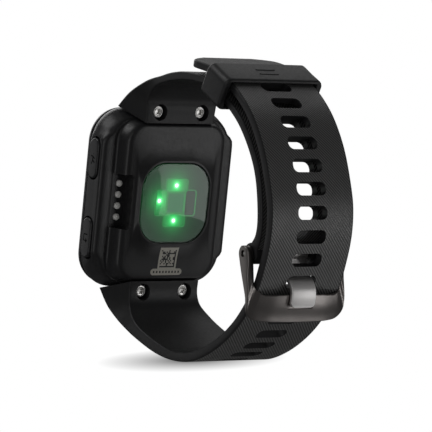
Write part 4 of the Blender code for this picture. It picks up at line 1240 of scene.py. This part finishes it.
def dress_inner_parts():
    """Gives each CAD node that stays in the scene its own finish."""
    looks = inner_looks()
    for name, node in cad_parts.items():
        for start, look in looks.items():
            if name.startswith(start):
                node.data.materials.clear()
                node.data.materials.append(look)


# ---- camera, floor and light

SUBJECT = Vector((0.0, 13.3, 0.0)) * MM        # middle of the back's window
ALPHA = math.radians(36.0)                     # camera's turn from the back towards the contact side
ROLL = math.radians(-5.6)
DISTANCE = 800 * MM
AMBIENT = 0.07
SHEET_HALF = 3.0                               # metres, far past what the camera sees
SHEET_DROP = 0.0002                            # metres, from the lowest strap to the sheet
LIGHT_TARGET = Vector((0.0, 20.0, 0.0)) * MM
SHADOW_CENTRE = (4.0, 31.0, 0.0)
SHADOW_HALF = (26.0, 15.0)     # half sizes of the soft shadow: along X, and towards the camera
SOFT_BOXES = {                 # direction, distance, width, height and radiance
    "window_softbox": ((-0.645, 0.755, 0.04), 420.0, 150.0, 195.0, 1.85),
    "buckle_softbox": ((-0.58, 0.58, -0.64), 420.0, 260.0, 120.0, 0.8),
    "edge_softbox": ((0.83, 0.55, -0.1), 500.0, 110.0, 300.0, 1.8),
    "top_softbox": ((-0.4, -0.2, 1.0), 450.0, 260.0, 260.0, 0.4),
    "keeper_softbox": ((-0.58, -0.48, 0.65), 450.0, 220.0, 220.0, 0.6),
    "wall_softbox": ((0.58, -0.8, -0.13), 450.0, 260.0, 260.0, 0.35),
    "corner_softbox": ((0.5, -0.36, 0.74), 450.0, 240.0, 240.0, 2.2),
    "camera_fill": ((0.9, 0.9, 0.5), 900.0, 300.0, 300.0, 1.0),
    "front_softbox": ((-0.2, -1.0, 0.3), 450.0, 300.0, 300.0, 1.6),
}


def make_camera():
    """Long lens set on the back and the contact side, turned so that X stays level in the picture."""
    rise = math.asin(math.tan(-ROLL) / math.tan(ALPHA))
    back = Vector((math.sin(ALPHA) * math.cos(rise), math.cos(ALPHA) * math.cos(rise), math.sin(rise)))
    level = Vector((-math.cos(ALPHA), math.sin(ALPHA), 0.0))
    up = back.cross(level)
    right = level * math.cos(ROLL) - up * math.sin(ROLL)
    upright = level * math.sin(ROLL) + up * math.cos(ROLL)
    data = bpy.data.cameras.new("camera")
    data.sensor_width = 36.0
    data.lens = 296.7
    data.shift_x = 0.0914
    data.shift_y = -0.0285
    data.clip_start = 0.01
    data.clip_end = 20.0
    camera = bpy.data.objects.new("camera", data)
    bpy.context.scene.collection.objects.link(camera)
    turn = Matrix((right, upright, back)).transposed().to_4x4()
    camera.matrix_world = Matrix.Translation(SUBJECT + back * DISTANCE) @ turn
    bpy.context.scene.camera = camera


def make_world():
    """Pure white behind the object, and a dim even fill on it."""
    world = bpy.data.worlds.new("studio")
    tree = empty_tree(world)
    fill = add_node(tree, "ShaderNodeBackground", {"Color": WHITE, "Strength": AMBIENT})
    seen = add_node(tree, "ShaderNodeBackground", {"Color": WHITE, "Strength": 1.0})
    end_in_mix(tree, camera_ray(tree), fill, seen, "ShaderNodeOutputWorld")
    bpy.context.scene.world = world
    bpy.context.scene.view_settings.view_transform = "Standard"


def make_lights():
    """Rectangular lights of even radiance, each aimed at the watch."""
    for name, (direction, distance_mm, width_mm, height_mm, radiance) in SOFT_BOXES.items():
        data = bpy.data.lights.new(name, "AREA")
        data.shape = "RECTANGLE"
        data.size = width_mm * MM
        data.size_y = height_mm * MM
        data.energy = radiance * math.pi * data.size * data.size_y
        light = bpy.data.objects.new(name, data)
        bpy.context.scene.collection.objects.link(light)
        aim = Vector(direction).normalized()
        light.rotation_mode = "QUATERNION"
        light.location = LIGHT_TARGET + aim * distance_mm * MM
        light.rotation_quaternion = aim.to_track_quat("Z", "Y")


def shadow_reach(tree):
    """0 in the middle of the soft shadow under the straps, 1 at its edge."""
    offset = vector_math(tree, "SUBTRACT", object_position(tree), SHADOW_CENTRE)
    half_x, half_depth = SHADOW_HALF
    squares = []
    sideways = (1 / half_x, -math.tan(ALPHA) / half_x, 0.0)
    towards_camera = (0.0, 1 / (math.cos(ALPHA) * half_depth), 0.0)
    for axis in (sideways, towards_camera):
        along = vector_math(tree, "DOT_PRODUCT", offset, axis, "Value")
        squares.append(math_node(tree, "MULTIPLY", along, along))
    return math_node(tree, "POWER", math_node(tree, "ADD", *squares), 0.5)


def make_floor():
    """White sheet under the straps with one soft shadow painted on it."""
    place = Matrix.Translation((0.0, SHEET_HALF / 100, cad_box[0].z - SHEET_DROP))
    mesh = mesh_from(lambda bm: bmesh.ops.create_grid(
        bm, x_segments=2, y_segments=2, size=SHEET_HALF, matrix=place))
    made = bpy.data.materials.new("white_sheet")
    tree = empty_tree(made)
    lit = add_node(tree, "ShaderNodeBsdfDiffuse", {"Color": (0.9, 0.9, 0.9, 1.0)})
    strength = ranged(tree, shadow_reach(tree), 0.15, 1.0, 0.1, 1.0)
    white = add_node(tree, "ShaderNodeEmission", {"Color": WHITE, "Strength": strength})
    end_in_mix(tree, camera_ray(tree), lit, white)
    floor = bpy.data.objects.new("floor", mesh)
    bpy.context.scene.collection.objects.link(floor)
    mesh.materials.append(made)
    floor.visible_glossy = False
    floor.visible_shadow = False


# ---- build

make_rear_case()
make_window()
make_sensor()
for button_label in CORNERS:
    make_button(button_label)
make_contacts()
make_screws()
make_upper_strap()
make_lower_strap()
make_buckle_frame()
make_prong()
make_spring_bar()
make_keeper()
make_code_panel()
make_front()
make_dial()
dress_inner_parts()
make_camera()
make_world()
make_lights()
make_floor()
